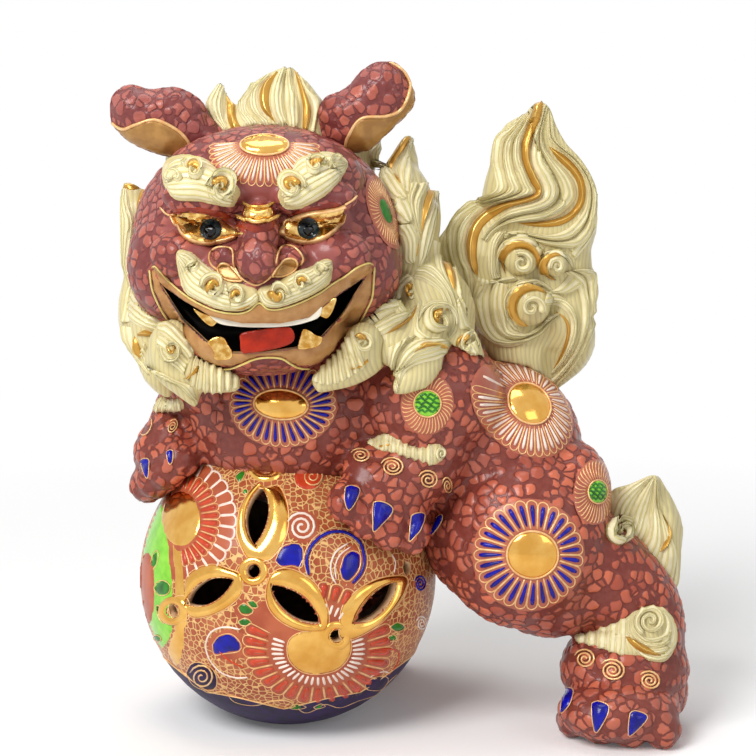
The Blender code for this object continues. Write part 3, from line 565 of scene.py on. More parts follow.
def skin_glaze(name, groove, valley, crown, sheen, size=5.8):
    """Overglaze on a pebbled hide: dark where it pools in the grooves, pale where it is thin.

    Its pebbles are a size in millimetres across, its clouds of mauve about 40 mm and its thin spots
    about 2.5 mm.
    """
    made, tree, shader = fired(name, roughness=0.32, coat=0.4)
    place = add(tree, "ShaderNodeAttribute", out="Vector", attribute_name="rest")
    bare = add(tree, "ShaderNodeAttribute", out="Fac", attribute_name="bare")
    deep, shade = pebble_cells(tree, place, size)
    cloud = add(tree, NOISE, {"Vector": place, "Scale": 26.0, "Detail": 3.0})
    wash = add(tree, NOISE, {"Vector": place, "Scale": 420.0, "Detail": 2.0})
    dim = add(tree, RAMP, {0: shade}, stops=[(0.1, 0.0), (0.9, 0.7)])
    top = add(tree, MIX, {0: dim, 6: crown, 7: valley}, **TINT)
    mauve = add(tree, RAMP, {0: cloud}, stops=[(0.42, 0.0), (0.62, 0.55)])
    top = add(tree, MIX, {0: mauve, 6: top, 7: sheen}, **TINT)
    plain = add(tree, MIX, {0: cloud, 6: valley, 7: sheen}, **TINT)
    rise = add(tree, RAMP, {0: deep}, stops=[(0.03, 0.0), (0.09, 1.0)])
    colour = add(tree, MIX, {0: rise, 6: plain, 7: top}, **TINT)
    seam = add(tree, RAMP, {0: deep}, stops=[(0.0, 0.6), (0.03, 0.8), (0.09, 0.0)])
    colour = add(tree, MIX, {0: seam, 6: colour, 7: groove}, **TINT)
    colour = add(tree, MIX, {0: bare, 6: colour, 7: plain}, **TINT)
    thin = add(tree, RAMP, {0: wash}, stops=[(0.4, 0.0), (0.8, 0.25)])
    colour = add(tree, MIX, {0: thin, 6: colour, 7: sheen}, **TINT)
    relief = add(tree, RAMP, {0: deep}, stops=PEBBLE_RISE)
    relief = add(tree, MIX, {0: bare, 6: relief, 7: (0.9, 0.9, 0.9, 1)}, **TINT)
    colour_and_relief(tree, shader, colour, relief, distance=0.4)
    return made


def hair_glaze(name, line="#e0d382", flat="#ebe1b8", deep="#a88e50", roughness=0.25, coat=0.4, metal=0.0):
    """Cream glaze over combed hair: every strand is edged by a raised pale yellow line, and the glaze
    gathers in spots about 7 mm across."""
    made, tree, shader = fired(name, roughness, coat, metal)
    flow = add(tree, "ShaderNodeUVMap", uv_map="flow")
    across = add(tree, SPLIT, {0: flow})
    near = add(tree, MATH, {0: across, 1: 0.5}, operation="PINGPONG")
    place = add(tree, PLACE, out="Object")
    wash = add(tree, NOISE, {"Vector": place, "Scale": 150.0, "Detail": 3.0})
    edge = add(tree, RAMP, {0: near}, stops=[(0.06, 0.9), (0.15, 0.0)])
    # Beside each line the cream darkens towards deep: partly glaze pooled against the line, partly painted
    # shade along the strands.
    pool = add(tree, RAMP, {0: near}, stops=[(0.1, 0.4), (0.28, 0.0)])
    thin = add(tree, RAMP, {0: wash}, stops=[(0.45, 0.0), (0.8, 0.35)])
    colour = add(tree, MIX, {0: thin, 6: flat, 7: deep}, **TINT)
    colour = add(tree, MIX, {0: pool, 6: colour, 7: deep}, **TINT)
    colour = add(tree, MIX, {0: edge, 6: colour, 7: line}, **TINT)
    colour_and_relief(tree, shader, colour, edge, distance=0.25)
    return made


def combed_glaze(name, line, flat, deep):
    """Cream glaze combed with a wire while wet: wavering strand lines about 2 mm apart."""
    made, tree, shader = fired(name, roughness=0.3, coat=0.4)
    place = add(tree, PLACE, out="Object")
    strands = add(tree, "ShaderNodeTexWave", {"Vector": place, "Scale": 150.0, "Distortion": 22.0,
                                              "Detail": 1.0, "Detail Scale": 0.22}, out="Fac",
                  bands_direction="X")
    pool = add(tree, RAMP, {0: strands}, stops=[(0.0, 0.35), (0.4, 0.0)])
    edge = add(tree, RAMP, {0: strands}, stops=[(0.8, 0.0), (0.97, 0.6)])
    colour = add(tree, MIX, {0: pool, 6: flat, 7: deep}, **TINT)
    colour = add(tree, MIX, {0: edge, 6: colour, 7: line}, **TINT)
    colour_and_relief(tree, shader, colour, strands, distance=0.15)
    return made


def plain_glaze(name, colour, second, roughness=0.2, coat=0.6, grain=5.0, rise=0.05, metal=0.0):
    """An enamel whose colour gathers and thins a little, as brushed glaze does; grain in millimetres."""
    made, tree, shader = fired(name, roughness, coat, metal)
    place = add(tree, PLACE, out="Object")
    wash = add(tree, NOISE, {"Vector": place, "Scale": 1 / (grain * MM), "Detail": 3.0})
    level = add(tree, RAMP, {0: wash}, stops=[(0.35, 0.0), (0.65, 1.0)])
    tone = add(tree, MIX, {0: level, 6: colour, 7: second}, **TINT)
    colour_and_relief(tree, shader, tone, wash, rise)
    return made


def mouth_shade_glaze(name):
    """Tan at the lips, darkening to black within about 8 mm of depth: painted shade inside the mouth."""
    made, tree, shader = fired(name, roughness=0.5, coat=0.15)
    place = add(tree, PLACE, out="Object")
    level = add(tree, SPLIT, {0: place}, out=1)
    # The painted shade deepens from the lips' depth to the throat's, in metres of Y.
    lips, throat = -0.073, -0.062
    depth = add(tree, "ShaderNodeMapRange", {0: level, 1: lips, 2: throat})
    colour = add(tree, RAMP, {0: depth}, stops=[(0.0, "#c49a68"), (0.4, "#6d5434"), (1.0, "#0b0807")])
    colour_and_relief(tree, shader, colour, add(tree, NOISE, {"Vector": place, "Scale": 200.0}),
                      distance=0.05)
    return made


def ball_glaze(name):
    """Terracotta ground under a net of tiny raised rings, each squeezed on by hand, about 2 mm across."""
    made, tree, shader = fired(name, roughness=0.35, coat=0.35)
    place = add(tree, PLACE, out="Object")
    edge = add(tree, CELLS, {"Vector": place, "Scale": 1 / (2.7 * MM), "Randomness": 0.75},
               feature="DISTANCE_TO_EDGE")
    cloud = add(tree, NOISE, {"Vector": place, "Scale": 60.0, "Detail": 2.0})
    level = add(tree, RAMP, {0: cloud}, stops=[(0.35, 0.0), (0.65, 1.0)])
    ground = add(tree, MIX, {0: level, 6: "#b5653f", 7: "#9c4528"}, **TINT)
    net = add(tree, RAMP, {0: edge}, stops=[(0.05, 1.0), (0.11, 0.0)])
    colour = add(tree, MIX, {0: net, 6: ground, 7: "#e8b877"}, **TINT)
    colour_and_relief(tree, shader, colour, net, distance=0.3)
    return made


# Iron red overglaze on moulded pebbles, a soft shine with dark seams.
SKIN = skin_glaze("iron_red_pebbled_glaze", "#561812", "#8a3529", "#cb6a4c", "#a05c4e")
# The same glaze with more manganese, mauve, on the head.
FACE_SKIN = skin_glaze("mauve_pebbled_glaze", "#591c1c", "#843832", "#b8634f", "#a2605c", size=5.2)
# Clear cream glaze with yellow enamel strand lines, glossy.
HAIR = hair_glaze("cream_strand_glaze")
# Fired gold brushed along the strands, satin bright.
HAIR_GOLD = hair_glaze("gilded_strand_glaze", "#e6c268", "#c9973f", "#9a6a26", roughness=0.28, coat=0.2,
                       metal=0.55)
# Cream glaze between the strands, darker than the locks' cream as painted shade between them, and a little
# darker where it pools.
SHADED_HAIR_GROUND = combed_glaze("combed_cream_shade_glaze", "#d6c97e", "#d3c695", "#a8925a")
# Plain cream glaze under the curls of the face.
CREAM = plain_glaze("plain_cream_glaze", "#dfd09a", "#cdbb80", roughness=0.3, coat=0.3)
# Liquid bright gold, fired on smooth glaze: a mirror with soft ripples.
GOLD = plain_glaze("liquid_gold_lustre", "#ecbb66", "#dba24c", roughness=0.14, coat=0.0, grain=9.0,
                   rise=0.25, metal=1.0)
# Cream-gold enamel squeezed from a tube: a raised satin line.
LINE = plain_glaze("gold_line_enamel", "#efc68c", "#dfa766", roughness=0.3, coat=0.4, grain=3.0, rise=0.05,
                   metal=0.25)
# Cobalt blue enamel, thick and glassy.
NAVY = plain_glaze("cobalt_enamel", "#0a10a4", "#080a74", roughness=0.2, coat=0.3)
# Pale enamel with a faint rose, satin.
WHITE = plain_glaze("white_enamel", "#f4e4d8", "#e8d0be")
# Coral red enamel, glossy.
RED = plain_glaze("coral_enamel", "#cf4a2b", "#b93a1e")
# Copper green enamel, glassy.
GREEN = plain_glaze("copper_green_enamel", "#2f8420", "#1f5c16")
# Yellow-green enamel, bright and glossy.
LIME = plain_glaze("lime_enamel", "#8fd63f", "#76c22c")
# Manganese purple enamel, darkened to nearly black as painted shade at the ball's foot.
PURPLE = plain_glaze("shaded_manganese_enamel", "#2a0c4a", "#170528", roughness=0.5, coat=0.0)
# Tan glaze on the lips, a soft shine.
LIP = plain_glaze("tan_lip_glaze", "#bd8d58", "#a87642", roughness=0.35, coat=0.35)
# Orange red enamel, wet and glossy, darkened to paint the shade inside the mouth.
TONGUE = plain_glaze("shaded_orange_red_enamel", "#b02604", "#861801", roughness=0.25, coat=0.3)
# White glaze on the teeth.
TOOTH = plain_glaze("white_tooth_glaze", "#f3ecdc", "#e6dbc4")
# Painted shade inside the mouth, matt: black deep inside, fading out of the tan lips.
MOUTH_SHADE = mouth_shade_glaze("mouth_painted_shade_glaze")
# Grey-green enamel of the iris.
IRIS = plain_glaze("slate_iris_enamel", "#2b393b", "#202b30", roughness=0.12, coat=0.9)
# Black enamel of the pupil, very glossy.
PUPIL = plain_glaze("black_pupil_enamel", "#050505", "#0a0a0a", roughness=0.08, coat=1.0)
# Gold brushed over modelled glaze, broken by darker pools.
EYE_GOLD = plain_glaze("pooled_gold_lustre", "#f3cf84", "#c58f3c", roughness=0.2, coat=0.0, grain=2.5,
                       rise=0.2, metal=0.9)
# Yellow enamel line of the hair and lips.
STRAND_LINE = plain_glaze("yellow_line_enamel", "#e2d084", "#d4bd68", roughness=0.3, coat=0.4)
# Red-brown glaze of the eyelids and the bridge of the nose.
BROWN_RED = plain_glaze("red_brown_lid_glaze", "#9a3a22", "#72251c", roughness=0.3, coat=0.4, grain=6.0)
# Ochre gilding inside the ears, satin.
OCHRE = plain_glaze("ochre_gilt_glaze", "#b98a48", "#9c6f35", roughness=0.3, coat=0.4, grain=6.0, rise=0.1,
                    metal=0.35)
# Terracotta ground with a gold net, on the ball.
BALL_GROUND = ball_glaze("terracotta_net_glaze")
# Salmon ground under the painted medallions, smooth and glossy.
SALMON = plain_glaze("salmon_ground_glaze", "#b96a50", "#a85a48", roughness=0.25, coat=0.5, grain=12.0)
# Terracotta glaze under the ball's flowers.
TERRACOTTA = plain_glaze("terracotta_ground_glaze", "#b8603e", "#a44c30", roughness=0.3, coat=0.4,
                         grain=9.0)
# Painted shade inside the ball: its bare biscuit, seen through the piercings, made dark.
SHADED_BISCUIT = plain_glaze("shaded_bare_biscuit", "#6b5240", "#4d392c", roughness=0.85, coat=0.0)
# Pale unglazed clay on the cut edges.
CLAY = plain_glaze("pale_clay_edge", "#d9b48c", "#c49a70", roughness=0.7, coat=0.0)


# Hair

# Curls stand this much clear of the hair that they lie on, in millimetres.
CURL_LIFT = 0.5


def rail(points, count):
    """Places at equal steps along a smooth line through 2-D points."""
    route = flowing(points, 1.0)
    lengths = [0.0]
    for a, b in zip(route, route[1:]):
        lengths.append(lengths[-1] + np.linalg.norm(b - a))
    places = []
    for i in range(count + 1):
        reach = lengths[-1] * i / count
        j = min(int(np.searchsorted(lengths, reach)), len(route) - 1)
        if j == 0:
            places.append(route[0])
            continue
        share = (reach - lengths[j - 1]) / max(lengths[j] - lengths[j - 1], 1e-9)
        places.append(route[j - 1] + (route[j] - route[j - 1]) * share)
    return places


def drape(build, tree, line, left, right, strands, height, lift=0.0):
    """A crowned lock laid on a skin between two rails of equal count, ridged at every strand."""
    samples, ridge, sunk = 3, 0.2, 0.35
    steps = strands * samples
    cells = steps + 1
    kept = []
    for a, b in zip(left, right):
        hits = [p for p in (a, b, (a + b) / 2) if tree.ray_cast(*line(*p))[0] is not None]
        if hits:
            kept.append([np.array(drawn_in(tree, line, end, hits[-1])) for end in (a, b)])
    if len(kept) < 3:
        return
    left, right = zip(*kept)
    stations = len(left)
    narrowest = 0.6
    corners, last, side = [], None, np.array((narrowest, 0.0))
    for a, b in zip(left, right):
        if np.linalg.norm(b - a) > narrowest:
            side = (b - a) / np.linalg.norm(b - a) * narrowest
        else:
            middle = (a + b) / 2
            a, b = middle - side / 2, middle + side / 2
        full = min(1.0, np.linalg.norm(b - a) / 8)
        for j in range(cells):
            share = j / steps
            last = landing(tree, line, tuple(a + (b - a) * share), last)
            crown = math.sin(math.pi * share) ** 0.7
            rise = crown * (1 - ridge + ridge * math.cos(2 * math.pi * j / samples)) * full
            corners.append(last[0] + last[1] * (rise * height + lift - sunk) * MM)
    faces, maps = [], []
    for i in range(stations - 1):
        middle = i * cells + steps // 2
        if (corners[middle + cells] - corners[middle]).length > 9 * MM:
            continue
        for j in range(cells):
            k = (j + 1) % cells
            faces.append([i * cells + j, i * cells + k, (i + 1) * cells + k, (i + 1) * cells + j])
            u, v = j / samples, (k or steps) / samples
            maps.append([(u, i), (v if k else 0, i), (v if k else 0, i + 1), (u, i + 1)])
    faces += [list(range(cells))[::-1], [(stations - 1) * cells + j for j in range(cells)]]
    maps += [[(j / samples, 0) for j in range(cells)]] * 2
    middle = (stations // 2) * cells + steps // 2
    across = corners[middle + 1] - corners[middle]
    along = corners[middle + cells] - corners[middle]
    way = line(*((left[stations // 2] + right[stations // 2]) / 2))[1]
    if across.cross(along).dot(way) > 0:
        faces = [face[::-1] for face in faces]
        maps = [loop[::-1] for loop in maps]
    build.add(corners, faces, maps)


def locks(build, tree, line, left, right, groups, strands, height, lift=0.0):
    """Locks side by side between two outer rails."""
    step = 1.8
    longest = max(len(flowing(left, 1.0)), len(flowing(right, 1.0)))
    count = max(4, int(longest / step))
    left, right = rail(left, count), rail(right, count)
    for g in range(groups):
        a = [p + (q - p) * (g / groups) for p, q in zip(left, right)]
        b = [p + (q - p) * ((g + 1) / groups) for p, q in zip(left, right)]
        drape(build, tree, line, a, b, strands, height, lift)


def curl(build, tree, line, centre, radius, turns, start, hand, strands, height, squash=1.0):
    """A spiral roll of hair that winds in from its rim; squash is its width as a share of its height."""
    outer, inner = [], []
    count = int(turns * 20)
    for i in range(count + 1):
        share = i / count
        angle = math.radians(start) + hand * 2 * math.pi * turns * share
        reach = radius * (1 - share) ** 0.8 + 0.6
        wide = radius / (turns + 0.35) * (1 - 0.5 * share)
        for rails, away in ((outer, reach), (inner, max(reach - wide, 0.1))):
            rails.append(np.array((centre[0] + away * math.cos(angle) * squash,
                                   centre[1] + away * math.sin(angle))))
    drape(build, tree, line, outer, inner, strands, height, CURL_LIFT)


def rungs(build, tree, line, upper, lower, count, height):
    """Short locks of two strands side by side, each running from an upper line to a lower one."""
    upper, lower = rail(upper, count), rail(lower, count)
    for i in range(count):
        locks(build, tree, line, [upper[i], lower[i]], [upper[i + 1], lower[i + 1]], groups=1, strands=2,
              height=height)


def crescent(build, tree, line, centre, radius, width, start, span, strands, height):
    """A lock bent along a part of a ring, widest at its middle; angles in degrees, clockwise."""
    outer, inner = [], []
    count = max(8, int(radius * math.radians(abs(span)) / 2))
    for i in range(count + 1):
        angle = math.radians(start + span * i / count)
        away = radius - width * math.sin(math.pi * i / count) ** 0.7
        for rails, reach in ((outer, radius), (inner, away)):
            rails.append(np.array((centre[0] + reach * math.cos(angle),
                                   centre[1] + reach * math.sin(angle))))
    drape(build, tree, line, outer, inner, strands, height, CURL_LIFT)


# Pebbled casts

def stamp(body, pebbles=0.6, calm=(), size=5.8, hollow=()):
    """Keeps the place before pebbling, marks calm spots, and lifts the pebbles of the hide."""
    corners = body.data.vertices
    flat = np.zeros(len(corners) * 3, np.float32)
    corners.foreach_get("co", flat)
    rest = body.data.attributes.new("rest", "FLOAT_VECTOR", "POINT")
    rest.data.foreach_set("vector", flat)
    places = flat.reshape(-1, 3)
    bare = np.zeros(len(places), np.float32)
    for centre, reach in calm:
        away = np.linalg.norm(places - np.array(centre), axis=1) / MM
        bare = np.maximum(bare, np.clip((reach - away) / 2.5, 0, 1))
    if hollow:
        low, high = np.min(hollow, 0), np.max(hollow, 0)
        for corner in corners:
            seen = seen_at(corner.co)
            if low[0] < seen[0] < high[0] and low[1] < seen[1] < high[1] and within(seen, hollow):
                bare[corner.index] = 1
    mask = body.data.attributes.new("bare", "FLOAT", "POINT")
    mask.data.foreach_set("value", bare)
    group = bpy.data.node_groups.new("pebbles", "GeometryNodeTree")
    group.interface.new_socket("Geometry", in_out="INPUT", socket_type="NodeSocketGeometry")
    group.interface.new_socket("Geometry", in_out="OUTPUT", socket_type="NodeSocketGeometry")
    skin = add(group, "NodeGroupInput")
    deep, _ = pebble_cells(group, add(group, "GeometryNodeInputPosition"), size)
    rise = add(group, RAMP, {0: deep}, stops=PEBBLE_RISE)
    hide = add(group, "GeometryNodeInputNamedAttribute", {"Name": "bare"}, data_type="FLOAT")
    hide = add(group, MATH, {0: 1.0, 1: hide}, operation="SUBTRACT")
    lift = add(group, MATH, {0: rise, 1: -1.0}, operation="ADD")
    lift = add(group, MATH, {0: lift, 1: hide}, operation="MULTIPLY")
    normal = add(group, "GeometryNodeInputNormal")
    away = add(group, VECTOR, {0: normal, 1: lift}, operation="MULTIPLY")
    away = add(group, VECTOR, {0: away, "Scale": pebbles * MM}, operation="SCALE")
    moved = add(group, "GeometryNodeSetPosition", {"Geometry": skin, "Offset": away})
    add(group, "NodeGroupOutput", {0: moved}, out=None)
    select(body)
    modifier = body.modifiers.new("pebbles", "NODES")
    modifier.node_group = group
    bpy.ops.object.modifier_apply(modifier=modifier.name)
    bpy.data.node_groups.remove(group)
    return body


def paw(centre, forward, top, width, length, height):
    """A heel and four round toes, laid along a paw's own directions."""
    up = Vector(top).normalized()
    ahead = Vector(forward)
    ahead = (ahead - ahead.dot(up) * up).normalized()
    turn = Matrix((ahead.cross(up), ahead, up)).transposed().to_4x4()
    inset, toe = 8, (8.2, 10.5, 9)
    parts = [((0, -0.08 * length, 0), (0.44 * width, 0.42 * length, height / 2))]
    for column in (-1.5, -0.5, 0.5, 1.5):
        across = column * (width / 2 - inset) / 1.5
        parts.append(((across, length / 2 - inset - 1.6 * column**2, inset - 0.42 * height), toe))
    forms = []
    for place, radii in parts:
        form = ellipsoid((0, 0, 0), radii)
        form.data.transform(Matrix.Translation(-SHIFT * MM))
        form.data.transform(Matrix.Translation(Vector(place) * MM))
        form.data.transform(turn)
        form.data.transform(Matrix.Translation(spot(*centre)))
        forms.append(form)
    return forms


# The middles of the paws, in millimetres: both forepaws lie on the ball.
LEFT_FOOT = (-5.2, -33.2, 111.8)
RIGHT_FOOT = (-103, 6.1, 121)
HIND_FOOT = (101.5, -14, 16.8)
FAR_FOOT = (-20, 68, 16.8)


# The body's round forms, each a middle and three radii in millimetres.
BODY_FORMS = (
    # Chest, belly and neck.
    ((-45, 8, 138), (50, 41, 42)), ((-2, 9, 144), (44, 39, 36)), ((-45, 12, 170), (36, 30, 30)),
    # Rump.
    ((21, 9.5, 127), (40, 37, 40)), ((44, 10, 122), (37, 38, 38)),
    # Left thigh, twice, and right thigh.
    ((54, -14, 86), (38, 30, 40)), ((44, -8, 86), (34, 26, 32)), ((36, 34, 92), (36, 24, 36)),
    # Left and right shoulder.
    ((12, -14, 150), (32, 30, 30)), ((-83, 6, 160), (22, 28, 28)),
    # Below the tail, and the left hock.
    ((76, -4, 104), (17, 24, 24)), ((99, -12, 27), (29, 25, 22)),
    # Under the belly, under the left thigh, and over the left hind toes.
    ((18, 10, 82), (18, 20, 17)), ((66, -10, 57), (24, 20, 16)), ((95, -31, 14), (27, 21, 14)))


def make_body():
    """Torso, rump, four legs and their paws, melted into one cast."""
    forms = [ellipsoid(*form) for form in BODY_FORMS]
    forms += [
        limb([(54, -14, 86), (77, -8, 78), (102, -4, 52), (104, -10, 24.8)], [31, 24, 23, 22]),
        limb([(36, 34, 92), (6, 62, 66), (-14, 70, 35)], [26, 19, 18]),
        limb([(12, -14, 150), (8.8, -21.2, 125.8), LEFT_FOOT], [26, 21, 15]),
        limb([(-83, 6, 160), (-100, 12.1, 139), RIGHT_FOOT], [20, 9.5, 12])]
    forms += paw(HIND_FOOT, (-0.38, -1, 0), (0, 0, 1), 56, 60, 40)
    forms += paw(FAR_FOOT, (-1, -0.3, 0), (0, 0, 1), 52, 56, 40)
    forms += paw(LEFT_FOOT, (-0.04, -0.82, -0.57), (0.575, -0.555, 0.617), 50, 46, 30)
    forms += paw(RIGHT_FOOT, (-0.46, -0.82, -0.34), (-0.69, -0.05, 0.72), 43, 41, 30)
    return melt("pebbled_body", forms, grain=1.35, smoothing=6)


# The head's round forms, from its middle: the skull, brow, jaw, cheeks, chin, eyes, nose and lips.
HEAD_FORMS = (
    ((0, 0, 0), (57, 44, 48)), ((0, -18, 26), (43, 28, 22)), ((0, -34, -18), (39, 26, 24)),
    ((36, -14, -10), (22, 24, 26)), ((-36, -14, -10), (22, 24, 26)), ((0, -26, -37), (34, 26, 18)),
    ((22, -42, 21), (18, 10, 9)), ((-22, -42, 21), (18, 10, 9)), ((0, -48, 5), (9, 12, 15)),
    ((31, -38, -3), (15, 12, 11)), ((-31, -38, -3), (15, 12, 11)))
MOUTH_HOLE = [(160, 284), (183, 300), (211, 316), (242, 323), (281, 323), (311, 317), (339, 295),
              (361, 280), (363, 281), (342, 315), (320, 338), (296, 347), (262, 352), (229, 352),
              (207, 341), (183, 319)]


def make_head():
    """Skull, snout, cheeks and chin in one cast, its open mouth cut through the lips."""
    forms = [ellipsoid(HEAD + Vector(place), radii) for place, radii in HEAD_FORMS]
    head = melt("pebbled_head", forms, grain=0.9, smoothing=7)
    whole = head.copy()
    whole.data = head.data.copy()
    front, throat = -100, -38
    return cut(head, slab(MOUTH_HOLE, front, throat)), whole


# The ball

# The round holes, as degrees round from the front and up, and the pairs that leaf shaped holes join.
HUBS = {"middle": (-10.5, 15.8), "top": (-13, 58.6), "low": (20.8, -9.3), "outer": (-45.9, -3.5),
        "inner": (55.1, 11.1)}
SLOTS = (("middle", "top"), ("middle", "low"), ("middle", "outer"), ("low", "inner"))


def direction(azimuth, elevation):
    """The way out of the ball at so many degrees round from the front, and up."""
    turn, rise = math.radians(azimuth), math.radians(elevation)
    return Vector((math.sin(turn) * math.cos(rise), -math.cos(turn) * math.cos(rise), math.sin(rise)))


def leaf(a, b, half=13.5, rise=4.75):
    """Halfway between two hubs: the axes of a pointed leaf, and its outline of two arcs in mm."""
    middle = (a + b).normalized()
    along = (b - a - (b - a).dot(middle) * middle).normalized()
    radius = (half**2 + rise**2) / (2 * rise)
    bend = math.asin(half / radius)
    outline = []
    for side in (1, -1):
        for step in range(14):
            angle = bend * (1 - step / 7)
            outline.append((side * radius * math.sin(angle),
                            side * (radius * math.cos(angle) - (radius - rise))))
    return middle, along, middle.cross(along), outline


def punch(a, b):
    """A leaf shaped punch halfway between two hubs, pointing at the ball's middle."""
    middle, along, across, outline = leaf(a, b)
    top, foot = 76, 40
    return prism("punch", [spot(*BALL) + (along * u + across * v + middle * level) * MM
                           for level in (top, foot) for u, v in outline])


def globe(radius, segments):
    """A ball of its own radius in millimetres at the ball's place."""
    bpy.ops.object.select_all(action="DESELECT")
    bpy.ops.mesh.primitive_uv_sphere_add(segments=segments, ring_count=segments // 2, radius=radius * MM,
                                         location=spot(*BALL))
    made = bpy.context.object
    bpy.ops.object.transform_apply(location=True, rotation=True, scale=True)
    return made


def make_ball():
    """A thin shell pierced by leaves between round hub holes, in front and again behind."""
    ball = globe(BALL_RADIUS, 144)
    ball.name = ball.data.name = "openwork_ball"
    wall, hub_radius = 4.5, 2.8
    cut(ball, globe(BALL_RADIUS - wall, 96))
    # A block below the row's floor cuts the foot flat.
    block = 200
    bpy.ops.object.select_all(action="DESELECT")
    bpy.ops.mesh.primitive_cube_add(size=block * MM, location=spot(*BALL.xy, -block / 2))
    cut(ball, bpy.context.object)
    for half_turn in (0, 180):
        hubs = {name: direction(turn + half_turn, rise) for name, (turn, rise) in HUBS.items()}
        for a, b in SLOTS:
            cut(ball, punch(hubs[a], hubs[b]))
        for hub in hubs.values():
            bpy.ops.object.select_all(action="DESELECT")
            bpy.ops.mesh.primitive_cylinder_add(vertices=24, radius=hub_radius * MM, depth=30 * MM,
                                                location=spot(*(BALL + hub * BALL_RADIUS)),
                                                rotation=hub.to_track_quat("Z", "Y").to_euler())
            cut(ball, bpy.context.object)
    return ball


def copied(*nodes):
    """Copies of casts of the frame, their loose triangles merged."""
    copies = []
    for node in nodes:
        source = bpy.data.objects[node]
        made = linked(node + "_form", source.data.copy())
        copies.append(in_edit_mode(made, bpy.ops.mesh.remove_doubles, threshold=1e-6))
    return copies


def seen_at(place):
    """The pixel of the 756 pixel frame that shows a place."""
    reach = place - EYE
    depth = reach.dot(FORWARD)
    return AIM[0] + FOCAL * reach.dot(RIGHT) / depth, AIM[1] - FOCAL * reach.dot(UP) / depth


def within(point, outline):
    """Whether a 2-D point lies inside an outline."""
    x, y = point
    inside = False
    for (ax, ay), (bx, by) in zip(outline, [*outline[1:], outline[0]]):
        if (ay > y) != (by > y) and x < (bx - ax) * (y - ay) / (by - ay) + ax:
            inside = not inside
    return inside


def widened(outline, across, down):
    """An outline drawn out from its middle by so many pixels."""
    middle = np.mean(outline, 0)
    return [(x + across * np.sign(x - middle[0]), y + down * np.sign(y - middle[1])) for x, y in outline]


def inside_mouth(body):
    """Gives the walls of the open mouth the glaze that paints their shade."""
    wide = widened(MOUTH_HOLE, 0.9, 1.1)
    for face in body.data.polygons:
        if face.center.y < -0.035 and (len(face.vertices) > 10 or within(seen_at(face.center), wide)):
            face.material_index = 1


def lip_depth(place):
    """How far forward the lips lie at a place of the photograph, as a depth of Y in mm."""
    return landing(LIP_TREE, photo, place)[0].y / MM - SHIFT.y


def round_over(body, outline, near, far, reach):
    """Thins a slab towards its outline, so that its section is an oval; reach is in pixels."""
    middle, starts = (near + far) / 2, np.array(outline, float)
    edges = np.roll(starts, -1, 0) - starts
    places = np.array([tuple(seen_at(corner.co)) for corner in body.data.vertices])
    share = np.clip(((places[:, None] - starts) * edges).sum(2) / (edges**2).sum(1), 0, 1)
    away = np.linalg.norm(places[:, None] - starts - share[..., None] * edges, axis=2).min(1)
    for corner, seen, rim in zip(body.data.vertices, places, away):
        keep = max(0.3, math.sqrt(1 - (1 - min(1, rim / reach)) ** 2))
        way = photo(*seen)[1]
        corner.co += way * ((corner.co.y - spot(0, middle, 0).y) * (keep - 1) / way.y)


def solid_from(name, outline, near, far, grain, smoothing):
    """A small form cut from its outline in the photograph and rounded."""
    return melt(name, [slab(rounded(outline, 2.0), near, far)], grain, smoothing)


